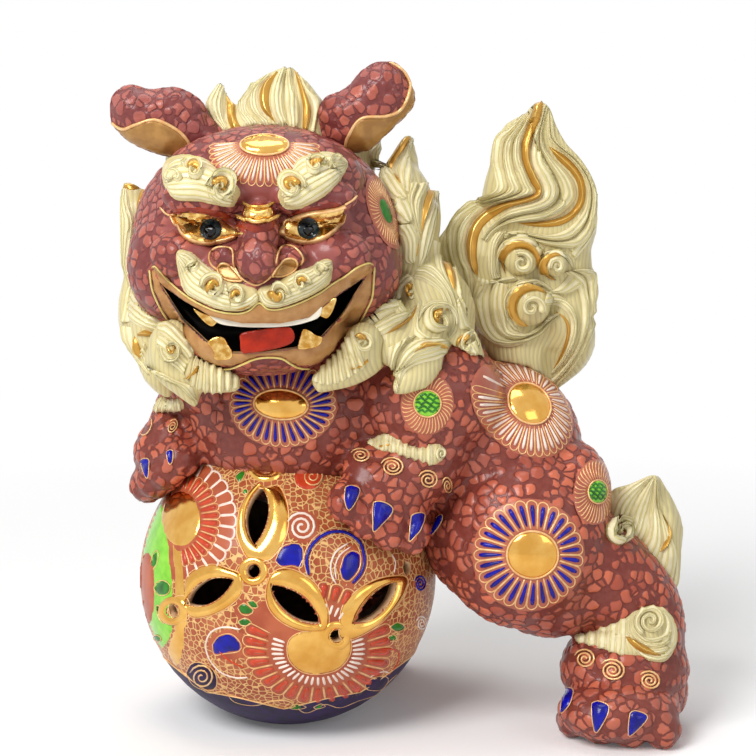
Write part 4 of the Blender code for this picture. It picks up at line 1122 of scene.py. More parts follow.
# Locks of hair, each between two rails of pixels: the mass that carries it, whether it is gilded, how
# many locks lie side by side, the strands of each, its height in mm, its left rail and its right rail.
LOCKS = (
    ("tail", 0, 3, 4, 2.6,
     [(530.4, 100.3), (524.9, 112.1), (510.1, 127.6), (497.8, 138.4), (493.3, 155.2), (494.3, 175),
      (493.7, 189.8), (475.9, 200.7), (452.1, 215), (438.3, 229), (439.9, 248.2), (449.8, 275.8),
      (459.7, 295.6), (472.5, 313.4)],
     [(534.8, 100.9), (532.8, 113.7), (526.5, 127.6), (521.3, 142.4), (521.3, 157.2), (524.5, 169.1),
      (530.4, 182.9), (535.2, 192.4), (522.9, 197.8), (495.2, 204.7), (473.9, 220.5), (466.2, 240.3),
      (467.2, 258.1), (472.5, 271.9), (474.5, 313.4)]),
    ("tail", 1, 1, 2, 2.2,
     [(534.8, 100.9), (532.8, 113.7), (526.5, 127.6), (521.3, 142.4), (521.3, 157.2), (524.5, 169.1),
      (530.4, 182.9), (535.2, 192.4), (522.9, 197.8), (495.2, 204.7), (473.9, 220.5), (466.2, 240.3),
      (467.2, 258.1), (472.5, 271.9), (477.4, 275.8)],
     [(543.7, 103.8), (540.3, 119.7), (534.4, 133.5), (530.4, 147.3), (531.2, 163.2), (537.8, 177),
      (541.9, 186.9), (540.7, 196.8), (531.8, 201.7), (509.1, 208.6), (487.3, 223.5), (479.4, 236.3),
      (477.4, 252.1), (478.4, 267.9), (478.4, 275.8)]),
    ("tail", 0, 2, 4, 2.6,
     [(544.3, 104.2), (540.3, 119.7), (534.4, 133.5), (530.4, 147.3), (531.2, 163.2), (537.8, 177),
      (542.7, 186.9), (541.3, 196.8), (531.8, 202.7), (509.1, 209.6), (489.3, 226.4), (480.4, 238.3)],
     [(548.2, 107.8), (544.7, 121.6), (542.7, 135.5), (546.6, 149.3), (556.5, 161.2), (569.4, 174),
      (576.3, 186.9), (575.3, 200.7), (556.5, 217.5), (532.8, 221.5), (513, 222.9), (495.2, 232.3),
      (487.3, 242.2)]),
    ("tail", 1, 1, 2, 1.8,
     [(548, 146.3), (557.5, 160.2), (570.4, 173), (576.9, 184.9), (577.3, 199.7), (569.4, 211.6),
      (556.5, 218.1), (540.7, 220.9), (524.9, 222.1), (515, 222.1)],
     [(548.6, 145.4), (566.4, 156.2), (578.7, 169.1), (585.2, 182.9), (585.2, 200.7), (578.3, 213.6),
      (566.4, 223.5), (550.6, 227.4), (530.8, 226.4), (515, 222.9)]),
    ("tail", 0, 2, 3, 2.6,
     [(547.8, 107.4), (546.6, 123.6), (548.6, 139.4), (566.4, 155.2), (579.3, 169.1), (586.2, 182.9),
      (586.2, 201.7), (579.3, 216.5), (566.4, 228.4), (548.6, 234.3), (524.9, 231.4), (505.1, 232.3)],
     [(549.2, 108.2), (553, 119.7), (556.9, 139.4), (568.8, 151.7), (582.6, 163.5), (592.5, 181.9),
      (596.5, 200.7), (593.1, 224.4), (586.2, 240.3), (575.3, 248.2), (548.6, 246.2), (519, 236.3)]),
    ("tail", 0, 1, 3, 1.6,
     [(594.5, 190.4), (592.5, 200.7), (590.1, 216.5), (582.2, 232.3), (568.4, 246.2)],
     [(595.7, 191.2), (599, 200.7), (597.1, 224.4), (588.2, 244.2), (575.3, 261)]),
    ("tail", 0, 1, 5, 2,
     [(495.2, 232.3), (489.3, 242.2), (487.3, 258.1), (489.3, 275.8), (495.2, 278.8)],
     [(509.1, 231.4), (499.2, 246.2), (498.2, 260), (498.2, 271.9), (501.2, 276.8)]),
    ("tail", 0, 1, 4, 1.8,
     [(505.1, 232), (524.9, 230.8), (540.7, 242.2), (544.7, 248.2)],
     [(503.2, 240.3), (519, 236.3), (532.8, 244.2), (537.8, 258.1)]),
    ("tail", 0, 2, 4, 2.6,
     [(477.4, 276.8), (471.9, 295.6), (472.5, 313.4), (479.8, 333.2), (496.2, 346), (514, 347),
      (532.8, 339.5), (548.6, 327.2), (558.5, 317.4)],
     [(509.1, 284.7), (508.1, 303.5), (509.1, 319.3), (515, 330.2), (528.9, 332.2), (540.7, 323.3),
      (548.6, 316.4), (556.5, 313.4), (560.5, 313)]),
    ("tail", 0, 1, 4, 2,
     [(477.4, 276.8), (489.3, 279.8), (501.2, 277.8), (513, 275.8)],
     [(481.4, 289.7), (495.2, 283.8), (509.1, 282.8), (519, 280.8)]),
    ("tail", 0, 1, 4, 2.2,
     [(546.6, 289.7), (558.5, 293.6), (572.3, 305.5), (577.3, 321.3), (575.3, 341.1), (566.4, 360.9),
      (552.6, 374.7)],
     [(540.7, 309.5), (552.6, 305.5), (564.4, 311.4), (570.4, 323.3), (568.4, 341.1), (561.5, 358.9),
      (550.6, 372.7)]),
    ("tail", 1, 1, 1, 1.4,
     [(556.5, 310.4), (566.4, 317.4), (570.8, 327.2), (568.4, 343.1), (561.5, 358.9), (551.6, 372.7)],
     [(556.5, 313.4), (562.9, 319.3), (566, 328.2), (564, 343.1), (558.5, 356.9), (550.6, 373.1)]),
    ("tail", 0, 2, 3, 2.4,
     [(577.3, 268.9), (590.1, 268.9), (596.1, 274.9), (594.5, 303.5), (593.7, 323.3), (586.2, 346),
      (572.3, 370.7), (556.5, 386.6), (546.6, 390.5)],
     [(564.4, 271.9), (575.3, 285.7), (581.2, 305.5), (581.2, 325.3), (577.3, 343.1), (566.4, 362.8),
      (556.5, 374.7), (548.6, 380.6), (546.6, 386.6)]),
    ("tail", 1, 1, 1, 1.2,
     [(568.4, 268.9), (581.2, 285.7), (587.2, 303.5), (588.2, 323.3), (585.2, 341.1), (578.3, 354.9)],
     [(568.4, 271.9), (578.7, 287.7), (583.8, 305.5), (584.6, 323.3), (582.2, 339.1), (577.3, 353.9)]),
    ("tail", 1, 1, 1, 1.2,
     [(586.2, 345), (577.3, 360.9), (566.4, 372.7), (560.5, 380.6)],
     [(582.2, 347), (573.9, 360.9), (564.4, 371.7), (559.5, 379.6)]),
    ("tail", 0, 1, 3, 2,
     [(568.4, 272.9), (556.5, 287.7), (548.6, 289.7)],
     [(582.2, 287.7), (568.4, 293.6), (552.6, 293.6)]),
    ("crown", 0, 1, 5, 1.8,
     [(220.3, 82), (213.7, 89.7), (206, 103), (210.6, 116.2), (220.8, 129.5), (231, 135.6)],
     [(224.6, 84.1), (223.9, 100.9), (224.9, 116.2), (229, 128.5), (233.1, 136.1)]),
    ("crown", 1, 1, 2, 1.5,
     [(224.6, 83.6), (226.1, 100.9), (226.4, 116.2), (230, 128.5), (233.6, 136.1)],
     [(225.9, 83.1), (234.1, 88.7), (236.1, 100.9), (236.1, 113.2), (240.2, 124.4), (249.4, 135.1)]),
    ("crown", 0, 1, 6, 1.6,
     [(236.1, 90.7), (237.1, 104), (238.2, 116.2), (245.3, 126.4), (255.5, 134.6)],
     [(258.6, 83.6), (250.4, 95.8), (248.4, 108.1), (257.6, 121.3), (271.8, 134.6)]),
    ("crown", 0, 1, 4, 1.6,
     [(260.6, 81.5), (250.4, 95.8), (249.4, 108.1), (257.6, 120.3), (271.8, 134.6)],
     [(273.9, 74.4), (261.1, 86.6), (258.6, 97.9), (261.6, 110.1), (267.8, 120.3), (282, 134.6)]),
    ("crown", 1, 1, 2, 1.5,
     [(274.9, 73.4), (261.6, 85.6), (258.6, 97.9), (261.6, 110.1), (269.8, 118.3), (278.5, 126.4)],
     [(278.5, 71.8), (273.1, 81.5), (270, 93.8), (270, 106), (273.9, 118.3), (278.8, 126.4)]),
    ("crown", 0, 2, 4, 1.9,
     [(287.1, 64.4), (278.5, 72.3), (272.3, 84.6), (270, 98.9), (271.8, 112.1), (278, 124.4),
      (283.1, 135.6)],
     [(290.7, 64.4), (293.8, 80.5), (298.4, 95.8), (299.9, 110.1), (299.4, 124.4), (295.3, 135.6)]),
    ("crown", 1, 1, 2, 1.5,
     [(292.8, 65.7), (297.3, 83.6), (301.4, 100.9), (302.4, 112.1), (301.4, 133.6)],
     [(294.8, 66.2), (302.4, 83.6), (308.6, 98.9), (311.6, 112.1), (307.6, 133.6)]),
    ("crown", 0, 1, 2, 1.3,
     [(296.3, 67.2), (304.5, 87.7), (311.6, 101.9), (312.7, 116.2), (309.6, 133.6)],
     [(298.4, 70.3), (308.1, 89.7), (320.8, 99.9), (318.8, 116.2), (315.7, 132.6)]),
    ("mane", 0, 1, 4, 1.8,
     [(400.5, 129.4), (387.9, 136.3), (371, 147.9), (368.5, 155.2), (373.1, 165.1)],
     [(403.7, 130), (393.1, 145.8), (386.2, 159.5), (388.3, 167.9)]),
    ("mane", 1, 1, 2, 1.4,
     [(403.7, 128.9), (394.2, 143.7), (386.2, 159.5), (388.9, 167.9)],
     [(412.7, 133.1), (407.2, 145.8), (396.7, 159.5), (391.7, 170)]),
    ("mane", 0, 1, 4, 1.8,
     [(412.7, 133.6), (404.3, 150), (394.6, 166.8), (398.4, 179.4)],
     [(413.1, 137.4), (410.6, 158.4), (414.2, 179.4), (411, 198.4)]),
    ("mane", 0, 2, 3, 1.8,
     [(408.9, 183.7), (406.8, 200.5), (413.1, 219.4), (419.4, 238.4), (419.4, 264.7)],
     [(428.9, 184.1), (420.5, 200.5), (419.4, 219.4), (422.6, 238.4), (422.6, 266.8)]),
    ("mane", 1, 1, 2, 1.5,
     [(428.9, 186.8), (423.2, 202.6), (421.5, 219.4), (419.4, 240.5)],
     [(436.7, 186.8), (432.5, 202.6), (426.2, 219.4), (421.1, 240.5)]),
    ("mane", 0, 1, 4, 1.8,
     [(436.7, 188.9), (432.5, 204.7), (424.7, 223.6), (419.9, 246.8), (418.4, 266.8)],
     [(438.6, 193.1), (436.3, 215.2), (434.2, 236.3), (428.9, 253.1), (422.6, 267.8)]),
    ("mane", 0, 1, 5, 2.2,
     [(373.6, 165.8), (379, 179.4), (383.7, 194.2), (394.2, 203), (405.1, 200.9)],
     [(390, 166.4), (403.7, 182.6), (407.9, 194.2), (406.4, 200.5)]),
    ("mane", 1, 1, 1, 2.4,
     [(388.9, 170), (395.2, 181.5), (400.5, 193.1)],
     [(392.1, 170), (401.6, 180.5), (402.2, 192.1)]),
    ("mane", 0, 1, 5, 2.2,
     [(390, 202.6), (390, 215.2), (399.5, 224.7), (410, 222.6)],
     [(406.8, 194.2), (412.7, 202.6), (414.2, 213.1), (411, 222.6)]),
    ("mane", 1, 1, 1, 2.4,
     [(409.6, 202.6), (411, 213.1), (407.9, 221.5)],
     [(412.7, 203.6), (414.4, 213.1), (411, 222)]),
    ("mane", 0, 1, 5, 2.2,
     [(393.1, 225.7), (400.9, 244.7), (402.6, 261.5), (413.1, 264.7)],
     [(413.1, 223.6), (418.4, 236.3), (417.8, 253.1), (414.2, 264.7)]),
    ("mane", 1, 1, 1, 2.4,
     [(416.9, 242.6), (414.2, 253.1), (407.9, 261.5)],
     [(419, 244.7), (417.8, 255.2), (411, 263.2)]),
    ("mane", 1, 1, 2, 1.6,
     [(438.8, 243.6), (442.2, 261.5), (447.2, 276.2), (454.8, 292)],
     [(441.8, 243.6), (449.3, 257.3), (455.2, 276.2), (455.9, 291.4)]),
    ("mane", 0, 1, 3, 1.6,
     [(433.1, 239.4), (433.8, 257.3), (440.5, 276.2), (453.1, 295.2)],
     [(439.2, 244.7), (442, 261.5), (446.8, 276.2), (454.8, 293.1)]),
    ("mane", 0, 1, 3, 1.6,
     [(441.8, 243), (450, 257.3), (456.3, 276.2), (456.3, 292)],
     [(443.6, 243), (453.1, 269.9), (459.4, 299.4), (467.8, 318.3)]),
    ("mane", 0, 3, 4, 2.2,
     [(420.5, 264.7), (434.2, 266.8), (448.9, 284.7), (456.7, 305.7), (456.9, 328.9), (448.9, 340.4)],
     [(413.1, 278.4), (423.7, 281.5), (438.4, 291), (445.7, 305.7), (450.6, 320.4), (447.2, 333.1)]),
    ("mane", 0, 1, 5, 2.2,
     [(405.1, 275.2), (394.6, 283.6), (390, 299.4), (396.7, 314.1), (408.9, 317.3), (416.9, 305.7)],
     [(413.1, 278.4), (403.7, 288.9), (400.9, 303.6), (407.2, 311), (414.4, 306.8)]),
    ("mane", 1, 1, 2, 2.4,
     [(417.3, 305.7), (413.1, 317.3), (400.5, 327.8), (385.8, 334.7)],
     [(415.7, 305.7), (410, 315.2), (397.3, 324.2), (384.7, 333.9)]),
    ("mane", 0, 2, 4, 2.4,
     [(394.2, 300.4), (377.4, 304.7), (365.8, 314.1), (360.5, 323.6)],
     [(413.1, 317.3), (397.3, 327.8), (384.7, 335.2), (371, 338.3)]),
    ("mane", 0, 1, 3, 1.8,
     [(422.6, 300.4), (419.4, 316.2), (421.5, 331), (434.2, 340.4)],
     [(416.9, 307.8), (415.2, 320.4), (413.1, 333.1), (419.4, 339.4)]),
    ("mane", 0, 1, 5, 2.2,
     [(386.8, 347.8), (387.9, 370.9), (390, 392), (392.1, 398.7)],
     [(419.4, 334.7), (405.1, 343.6), (395.9, 362.5), (399.5, 387.8), (393.4, 398.7)]),
    ("mane", 0, 1, 6, 2.4,
     [(398.8, 385.7), (395.2, 366.7), (402.6, 347.8), (419.4, 338.3), (440.5, 337.3), (454.8, 348.8)],
     [(400.1, 385.7), (407.2, 370.9), (419.9, 364.6), (436.7, 360.4), (447.2, 355.2), (455.2, 349.5)]),
    ("mane", 1, 1, 2, 2.8,
     [(406.4, 356.6), (419.4, 343.6), (436.3, 341.1), (448.5, 351.6)],
     [(408.5, 358.3), (421.5, 351.4), (436.3, 352), (447.2, 353.3)]),
    ("mane", 0, 1, 5, 2,
     [(476.3, 339.4), (478.4, 358.3), (474.6, 381.5), (464.7, 400.4), (456.3, 413)],
     [(459.8, 352), (461.1, 370.9), (460.5, 387.8), (457.7, 404.6), (455.9, 413)]),
    ("mane", 0, 1, 4, 1.8,
     [(456.3, 295.2), (467.8, 320.4), (475.8, 337.3), (477.5, 352)],
     [(456.3, 312), (459.4, 328.9), (467.8, 329.9), (474.6, 341.5)]),
    ("mane", 0, 1, 6, 1.8,
     [(117.2, 190.6), (119.9, 204.4), (119.9, 230.4), (121.7, 259.5), (128.3, 285.9)],
     [(128.3, 189.1), (130.6, 205.9), (134.9, 221.3), (132.5, 245.8), (130.6, 267.2), (134, 287.1)]),
    ("mane", 1, 1, 2, 1.4,
     [(117.2, 190.3), (120.2, 185.3), (129.1, 183), (137.5, 185.3)],
     [(118.7, 192.5), (124.5, 189.4), (132.2, 190.6), (139.5, 189.4)]),
    ("mane", 1, 1, 2, 1.4,
     [(152.8, 173.8), (144.7, 181.4), (138.3, 195.2), (135.5, 212.1)],
     [(159, 171.5), (152.8, 183), (144.4, 198.3), (137.5, 212.1)]),
    ("mane", 0, 1, 5, 1.6,
     [(149.3, 160), (146.7, 173.8), (144.4, 180.7)],
     [(165.1, 160), (158.2, 169.2), (152.8, 176.8)]),
    ("mane", 0, 1, 3, 1.6,
     [(128.3, 286.3), (123, 300.9), (121.4, 323.1)],
     [(134.5, 287.1), (134, 305.5), (129.9, 321.6)]),
    ("mane", 1, 1, 1, 1.6,
     [(125.3, 296.3), (123, 307), (124.5, 320.8)],
     [(127.6, 296.3), (126.3, 307), (125.7, 320.8)]),
    ("mane", 0, 1, 6, 2,
     [(134.5, 287.9), (146.7, 308.5), (160.5, 317.7), (165.8, 320), (173.5, 326.9), (182.7, 340.7)],
     [(129.9, 322.3), (139.8, 327.7), (152.1, 331.5), (161.3, 337.6), (161.3, 349.9)]),
    ("mane", 1, 1, 2, 2.2,
     [(136.8, 333.8), (144.4, 329.7), (152.8, 332.3), (158.2, 337.9)],
     [(139.1, 336.1), (145.9, 336.9), (152.8, 337.3), (157.9, 338.6)]),
    ("mane", 1, 1, 2, 2.2,
     [(134, 336.1), (132.9, 343.8), (134.5, 352.2), (141, 359.1)],
     [(135.2, 336.1), (140.1, 345.3), (142.1, 353), (142.1, 359.1)]),
    ("mane", 0, 1, 4, 2,
     [(121.4, 326.2), (123, 336.1), (127.9, 346.1), (136.8, 360.6), (147.8, 374.7)],
     [(131.4, 326.9), (132.5, 337.6), (134.5, 353), (142.9, 363.7), (150.5, 375.2)]),
    ("mane", 0, 1, 5, 2.2,
     [(144.4, 340.7), (150.5, 353), (161.3, 365.2), (173.5, 374.4), (185.8, 377.5)],
     [(143.6, 360.6), (150.5, 372.9), (164.3, 382.1), (179.6, 391.2), (191.9, 399.7)]),
    ("beard", 0, 2, 4, 2.2,
     [(161.2, 316.8), (173.5, 323), (185.7, 335.2), (194, 346)],
     [(158.2, 350.5), (168.9, 362.8), (176, 369), (184, 376)]),
    ("beard", 1, 1, 2, 2.6,
     [(200.3, 365.1), (194.9, 371.9), (185.7, 376.5)],
     [(198, 371.9), (191.8, 378.8), (183.4, 379.6)]),
    ("beard", 0, 1, 4, 2.2,
     [(145.9, 364.3), (161.2, 376.5), (176.5, 385.7), (191.8, 399.5), (199.8, 407.1)],
     [(164.3, 373.5), (179.6, 381.1), (191.8, 385.7), (195.7, 394.9), (199.8, 406.8)]),
    ("beard", 1, 1, 2, 2.8,
     [(367.9, 358.7), (360.6, 364.8), (350.9, 367.8)],
     [(366.6, 362.4), (358.2, 369), (348.5, 369.6)]),
)
# Curls: the mass, whether it is gilded, its middle, its radius in pixels, its turns, the angle that it
# starts at, 1 for clockwise, its strands, its height in mm, and its width as a share of its height.
CURLS = (
    ("tail", 0, (521.5, 262.0), 12.5, 1.5, -120, 1, 3, 2.6, 1.0),
    ("tail", 0, (557.0, 266.0), 9.5, 1.4, 170, 1, 3, 2.6, 0.85),
    ("tail", 0, (531.5, 307.0), 13.5, 1.5, 30, -1, 3, 2.8, 1.0),
    ("mane", 1, (410.4, 293.1), 9.5, 0.9, -60, -1, 2, 2.6, 0.6),
    ("mane", 0, (412.3, 296.2), 6, 1.1, -60, -1, 2, 2.8, 0.7),
    ("mane", 0, (438.0, 320.4), 17.5, 1.7, -60, -1, 4, 3.0, 1.0),
    ("mane", 1, (437.3, 321.5), 17, 0.6, -70, -1, 2, 3.2, 1.0),
    ("mane", 0, (466.4, 344.6), 13, 1.4, -60, -1, 3, 2.8, 0.55),
    ("mane", 1, (464.7, 343.6), 11, 0.5, -70, -1, 1, 2.8, 0.55),
    ("beard", 0, (172.0, 349.1), 15, 1.6, 200, -1, 4, 3.0, 0.85),
    ("beard", 1, (172.7, 347.6), 8, 0.9, 200, -1, 2, 3.4, 0.7),
    ("beard", 0, (363.6, 343.0), 10.5, 1.6, -110, 1, 3, 3.0, 1.0),
    ("beard", 1, (363.0, 340.6), 9, 0.5, -150, 1, 2, 3.2, 1.0),
)
# Bent locks: the mass, whether it is gilded, the ring's middle and radius and the lock's width in
# pixels, the angle that it starts at, its span, its strands, and its height in mm.
CRESCENTS = (
    ("tail", 0, (520, 261), 26, 9, 135, 225, 4, 3.0),
    ("tail", 1, (520, 261), 19, 7, 140, 245, 2, 4.2),
    ("tail", 0, (555, 267), 18, 6, 200, 170, 3, 2.6),
    ("tail", 1, (555, 267), 13, 6.5, -60, -215, 2, 3.8),
    ("tail", 0, (530, 306), 28, 9, -20, -230, 4, 3.0),
    ("tail", 1, (530, 306), 20, 8, -40, -225, 2, 4.4),
    ("mane", 0, (438, 320), 20, 6, 170, 220, 3, 2.6),
    ("mane", 1, (438, 320), 14, 3.5, 190, 130, 1, 3.4),
    ("mane", 1, (466, 344), 10, 3.5, 150, 130, 1, 3.2),
)
# The face's outlines in pixels, left and right as the photograph is seen: the eyes, the lines that run
# on from their corners, the lids, the sides of the nose, the nostrils and the moustache.
LEFT_LOOK = [(172.1, 215.8), (186.1, 213.3), (198.2, 213.9), (212.7, 217), (227.3, 223.6), (237, 229.7),
             (243, 233.3), (237, 237), (224.8, 242.4), (207.9, 244.8), (193.3, 242.4), (182.4, 235.8),
             (176.4, 224.8)]
RIGHT_LOOK = [(279.1, 232.1), (282.1, 224.8), (288.2, 218.8), (306.4, 212.7), (323.3, 210.3),
              (337.9, 207.9), (344.5, 205.4), (343.9, 215.1), (340.3, 226), (330.6, 235.7), (318.5, 241.8),
              (305.1, 244.2), (293, 242.4), (283.3, 236.9)]
LEFT_FLICK = [(172.1, 215.8), (166.1, 213.9), (160, 207.3)]
RIGHT_FLICK = [(344.5, 205.2), (353.6, 199.4), (360.3, 191.5)]
LEFT_LID = [(167.3, 213.3), (176.4, 209.1), (192.1, 206.9), (212.7, 210.1), (232.1, 216.4), (243, 226.1),
            (244.8, 233.3), (237, 229.1), (227.3, 223), (212.7, 216.4), (198.2, 213.1), (186.1, 212.5),
            (172.7, 215.2)]
RIGHT_LID = [(278.5, 228.5), (280.9, 222.4), (294.2, 212.7), (310, 207.3), (328.2, 202.4), (337.9, 203.6),
             (342.7, 205.7), (335.4, 208.1), (323.3, 210.3), (306.4, 212.5), (288.2, 218.3), (281.5, 224.6)]
LEFT_WING = [(217.6, 270.3), (211.5, 264.8), (209.1, 257.6), (210.9, 251.5), (217.6, 247.3), (229.7, 248.1),
             (233.1, 253.9), (233.9, 264.8), (240.6, 277), (249.1, 283), (257, 285.2), (266.1, 280.6),
             (271.5, 275.8)]
RIGHT_WING = [(275.8, 263.6), (276.7, 257.5), (278.7, 251.5), (283.3, 246), (291.8, 246), (299.1, 251.5),
              (302.7, 257.5), (302.1, 262.4), (299.7, 265.8)]
LEFT_NOSTRIL = [(217.6, 268.5), (221.2, 263.6), (228.5, 264.8), (237, 273.3), (241.8, 280.6),
                (234.5, 281.2), (224.8, 279.4), (218.8, 273.9)]
RIGHT_NOSTRIL = [(271.8, 275.7), (277.3, 267.2), (284.5, 260), (293, 258.8), (297.3, 263.6), (294.2, 270.9),
                 (285.8, 275.7), (277.3, 276.9)]
LEFT_TASH = [(176.4, 251.5), (188.5, 250.1), (198.2, 256.4), (207.9, 264.8), (217.6, 272.1), (227.3, 280.6),
             (239.4, 283), (249.1, 285.5), (256.4, 289.1), (259.4, 301.2), (249.1, 309.1), (237, 312.1),
             (217.6, 309.9), (198.2, 301.8), (184.2, 292.7), (177.6, 273.3)]
RIGHT_TASH = [(333.6, 263), (330.6, 258.8), (322.1, 258.8), (310, 266), (297.9, 269.7), (284.5, 276.9),
              (274.8, 283), (261.5, 286.6), (256.7, 292.7), (259.1, 301.2), (265.2, 307.2), (277.3, 308.4),
              (294.2, 303.6), (314.8, 294.5), (330.6, 283)]
# The fangs, the lion's right one first, and the tongue.
UPPER_FANGS = ([(193.3, 308.5), (203, 313.3), (220, 318.2), (217.6, 321.8), (212.7, 326.4), (207.9, 324.8),
                (200.6, 318.2)], [(314.8, 312.1), (335.4, 297.5), (334.2, 307.2), (330, 315.7),
                                  (326.3, 318.5), (322.1, 316.9)])
LOWER_FANGS = ([(207.3, 342.4), (215.2, 337), (223.6, 337.6), (229.1, 346.1), (232.7, 352.7),
                (229.7, 359.4), (215.2, 359.4), (212.7, 349.7)],
               [(298.5, 342.4), (302.7, 329.6), (308.8, 330.2), (316, 335.1), (322.7, 337.5), (318.5, 346),
                (303.9, 349.6), (297.9, 348.4)])
TONGUE_FORM = [(240, 341.2), (241.2, 333.3), (261.2, 329.3), (285.5, 326.9), (293.3, 330.3), (293.7, 341.2),
               (279.4, 347.9), (249.1, 353.3), (241.2, 351.9)]
# Gilded forms on the ball: those round a leaf shaped hole are frames, and one is a solid patch.
GILT_SHAPES = (
    [(248.7, 475.9), (253.5, 464.4), (266.7, 459.1), (280.3, 463.9), (285.9, 473.5), (283.5, 483.1),
     (276.3, 487.4), (267.1, 489.1), (257.1, 487.4), (251.1, 483.1)],
    [(255.9, 485.5), (267.9, 489.1), (278.7, 485.5), (287.1, 502.3), (288.7, 523.9), (283.5, 543.1),
     (273.1, 557), (265.5, 561.1), (253.5, 561.5), (245.1, 555.1), (237.9, 538.3), (237.2, 523.9),
     (241.5, 504.7)],
    [(241.5, 564.7), (249.9, 559.4), (265.5, 560.3), (272.7, 568.2), (273.1, 581.4), (267.9, 592.2),
     (255.9, 595.8), (243.9, 592.2), (237.2, 583.8), (237.2, 571.8)],
    [(185.9, 580.2), (195.9, 568.7), (212.7, 564.2), (229.5, 569), (241.5, 575.4), (241.5, 593.4),
     (227.1, 607.8), (207.9, 616.2), (191.1, 616.9), (186.8, 605.4)],
    [(270.7, 575.4), (282.3, 568.2), (299, 571.8), (315.8, 583.8), (326.6, 603), (329, 622.2), (323, 630.6),
     (301.4, 630.6), (282.3, 622.7), (269.8, 610.2), (265.5, 593.4)],
    [(339.8, 619.8), (343.4, 604.2), (359, 588.6), (380.6, 577.8), (405.8, 576.6), (405, 593.4),
     (393, 610.2), (375.8, 627), (351.8, 639.5), (339.8, 636.6)],
    [(303.8, 631.3), (324.2, 628.2), (339.8, 629.4), (350.6, 639), (349.4, 655.8), (337.4, 669.4),
     (318.2, 674.2), (301.4, 671.4), (289.4, 660.6), (287.1, 646.2), (291.8, 636.6)],
    [(169.1, 607.8), (172.4, 598.7), (182.7, 595.3), (189.2, 601.8), (190.6, 615), (183.9, 621.7),
     (173.1, 618.6)],
)
GILT_FRAMES, GILT_PATCH = (1, 3, 4, 5), 6
# Pools of enamel on the ball.
BALL_POOLS = (
    ("NAVY", [(219.4, 450.7), (224.7, 445.2), (234.3, 445.9), (239.6, 448.3), (237.9, 459.1),
              (229.5, 466.3), (221.8, 459.1)]),
    ("NAVY", [(275.1, 561.1), (283.5, 545.9), (301.4, 545.5), (301.9, 567.1), (291.8, 565.9),
              (282.3, 567.1)]),
    ("NAVY", [(339.8, 569.4), (344.6, 555.1), (353, 550.7), (360.2, 555.1), (359, 569.4), (349.4, 581),
              (342.2, 579)]),
    ("NAVY", [(212.7, 643.8), (219.9, 635.4), (231.9, 634.2), (241, 643.8), (239.1, 651), (224.7, 653.4),
              (214.6, 654.6)]),
    ("RED", [(293.8, 475.9), (299, 466.8), (311, 463.9), (321.1, 468.7), (323, 478.3), (317, 487.9),
             (306.2, 490.3), (296.6, 485.5)]),
    ("PURPLE", [(186.3, 672.6), (192.3, 663), (203.1, 663), (213.9, 670.2), (217.5, 682.2), (213.9, 689.4),
                (203.1, 689.4), (192.3, 683.4)]),
    ("PURPLE", [(365, 684.6), (373.4, 677.4), (385.4, 676.2), (387.8, 681), (380.6, 689.4),
                (367.4, 689.4)]),
    ("GREEN", [(235.5, 475.9), (243.9, 469.9), (245.1, 474.7), (239.1, 483.1)]),
    ("GREEN", [(241.5, 490.3), (246.3, 489.1), (248.2, 492.7), (243.9, 494.6)]),
    ("GREEN", [(237.9, 607.8), (243.9, 603), (253.5, 610.2), (248.7, 615), (241.5, 613.8)]),
    ("GREEN", [(246.8, 601.8), (253.5, 600.6), (258.3, 606.6), (252.3, 607.8)]),
    ("GREEN", [(238.6, 621), (245.1, 617.9), (251.6, 622.2), (246.3, 625.8), (240.3, 624.6)]),
    ("GREEN", [(389, 627), (397.4, 622.2), (405, 627), (397.4, 631.8)]),
    ("GREEN", [(387.8, 636.6), (393.8, 634.2), (396.2, 639), (390.2, 641.4)]),
    ("GREEN", [(288.2, 707.3), (296.6, 703.7), (306.2, 706.6), (296.6, 709)]),
    ("GREEN", [(313.4, 706.6), (320.6, 703.3), (325.4, 705.7), (317, 708.5)]),
)
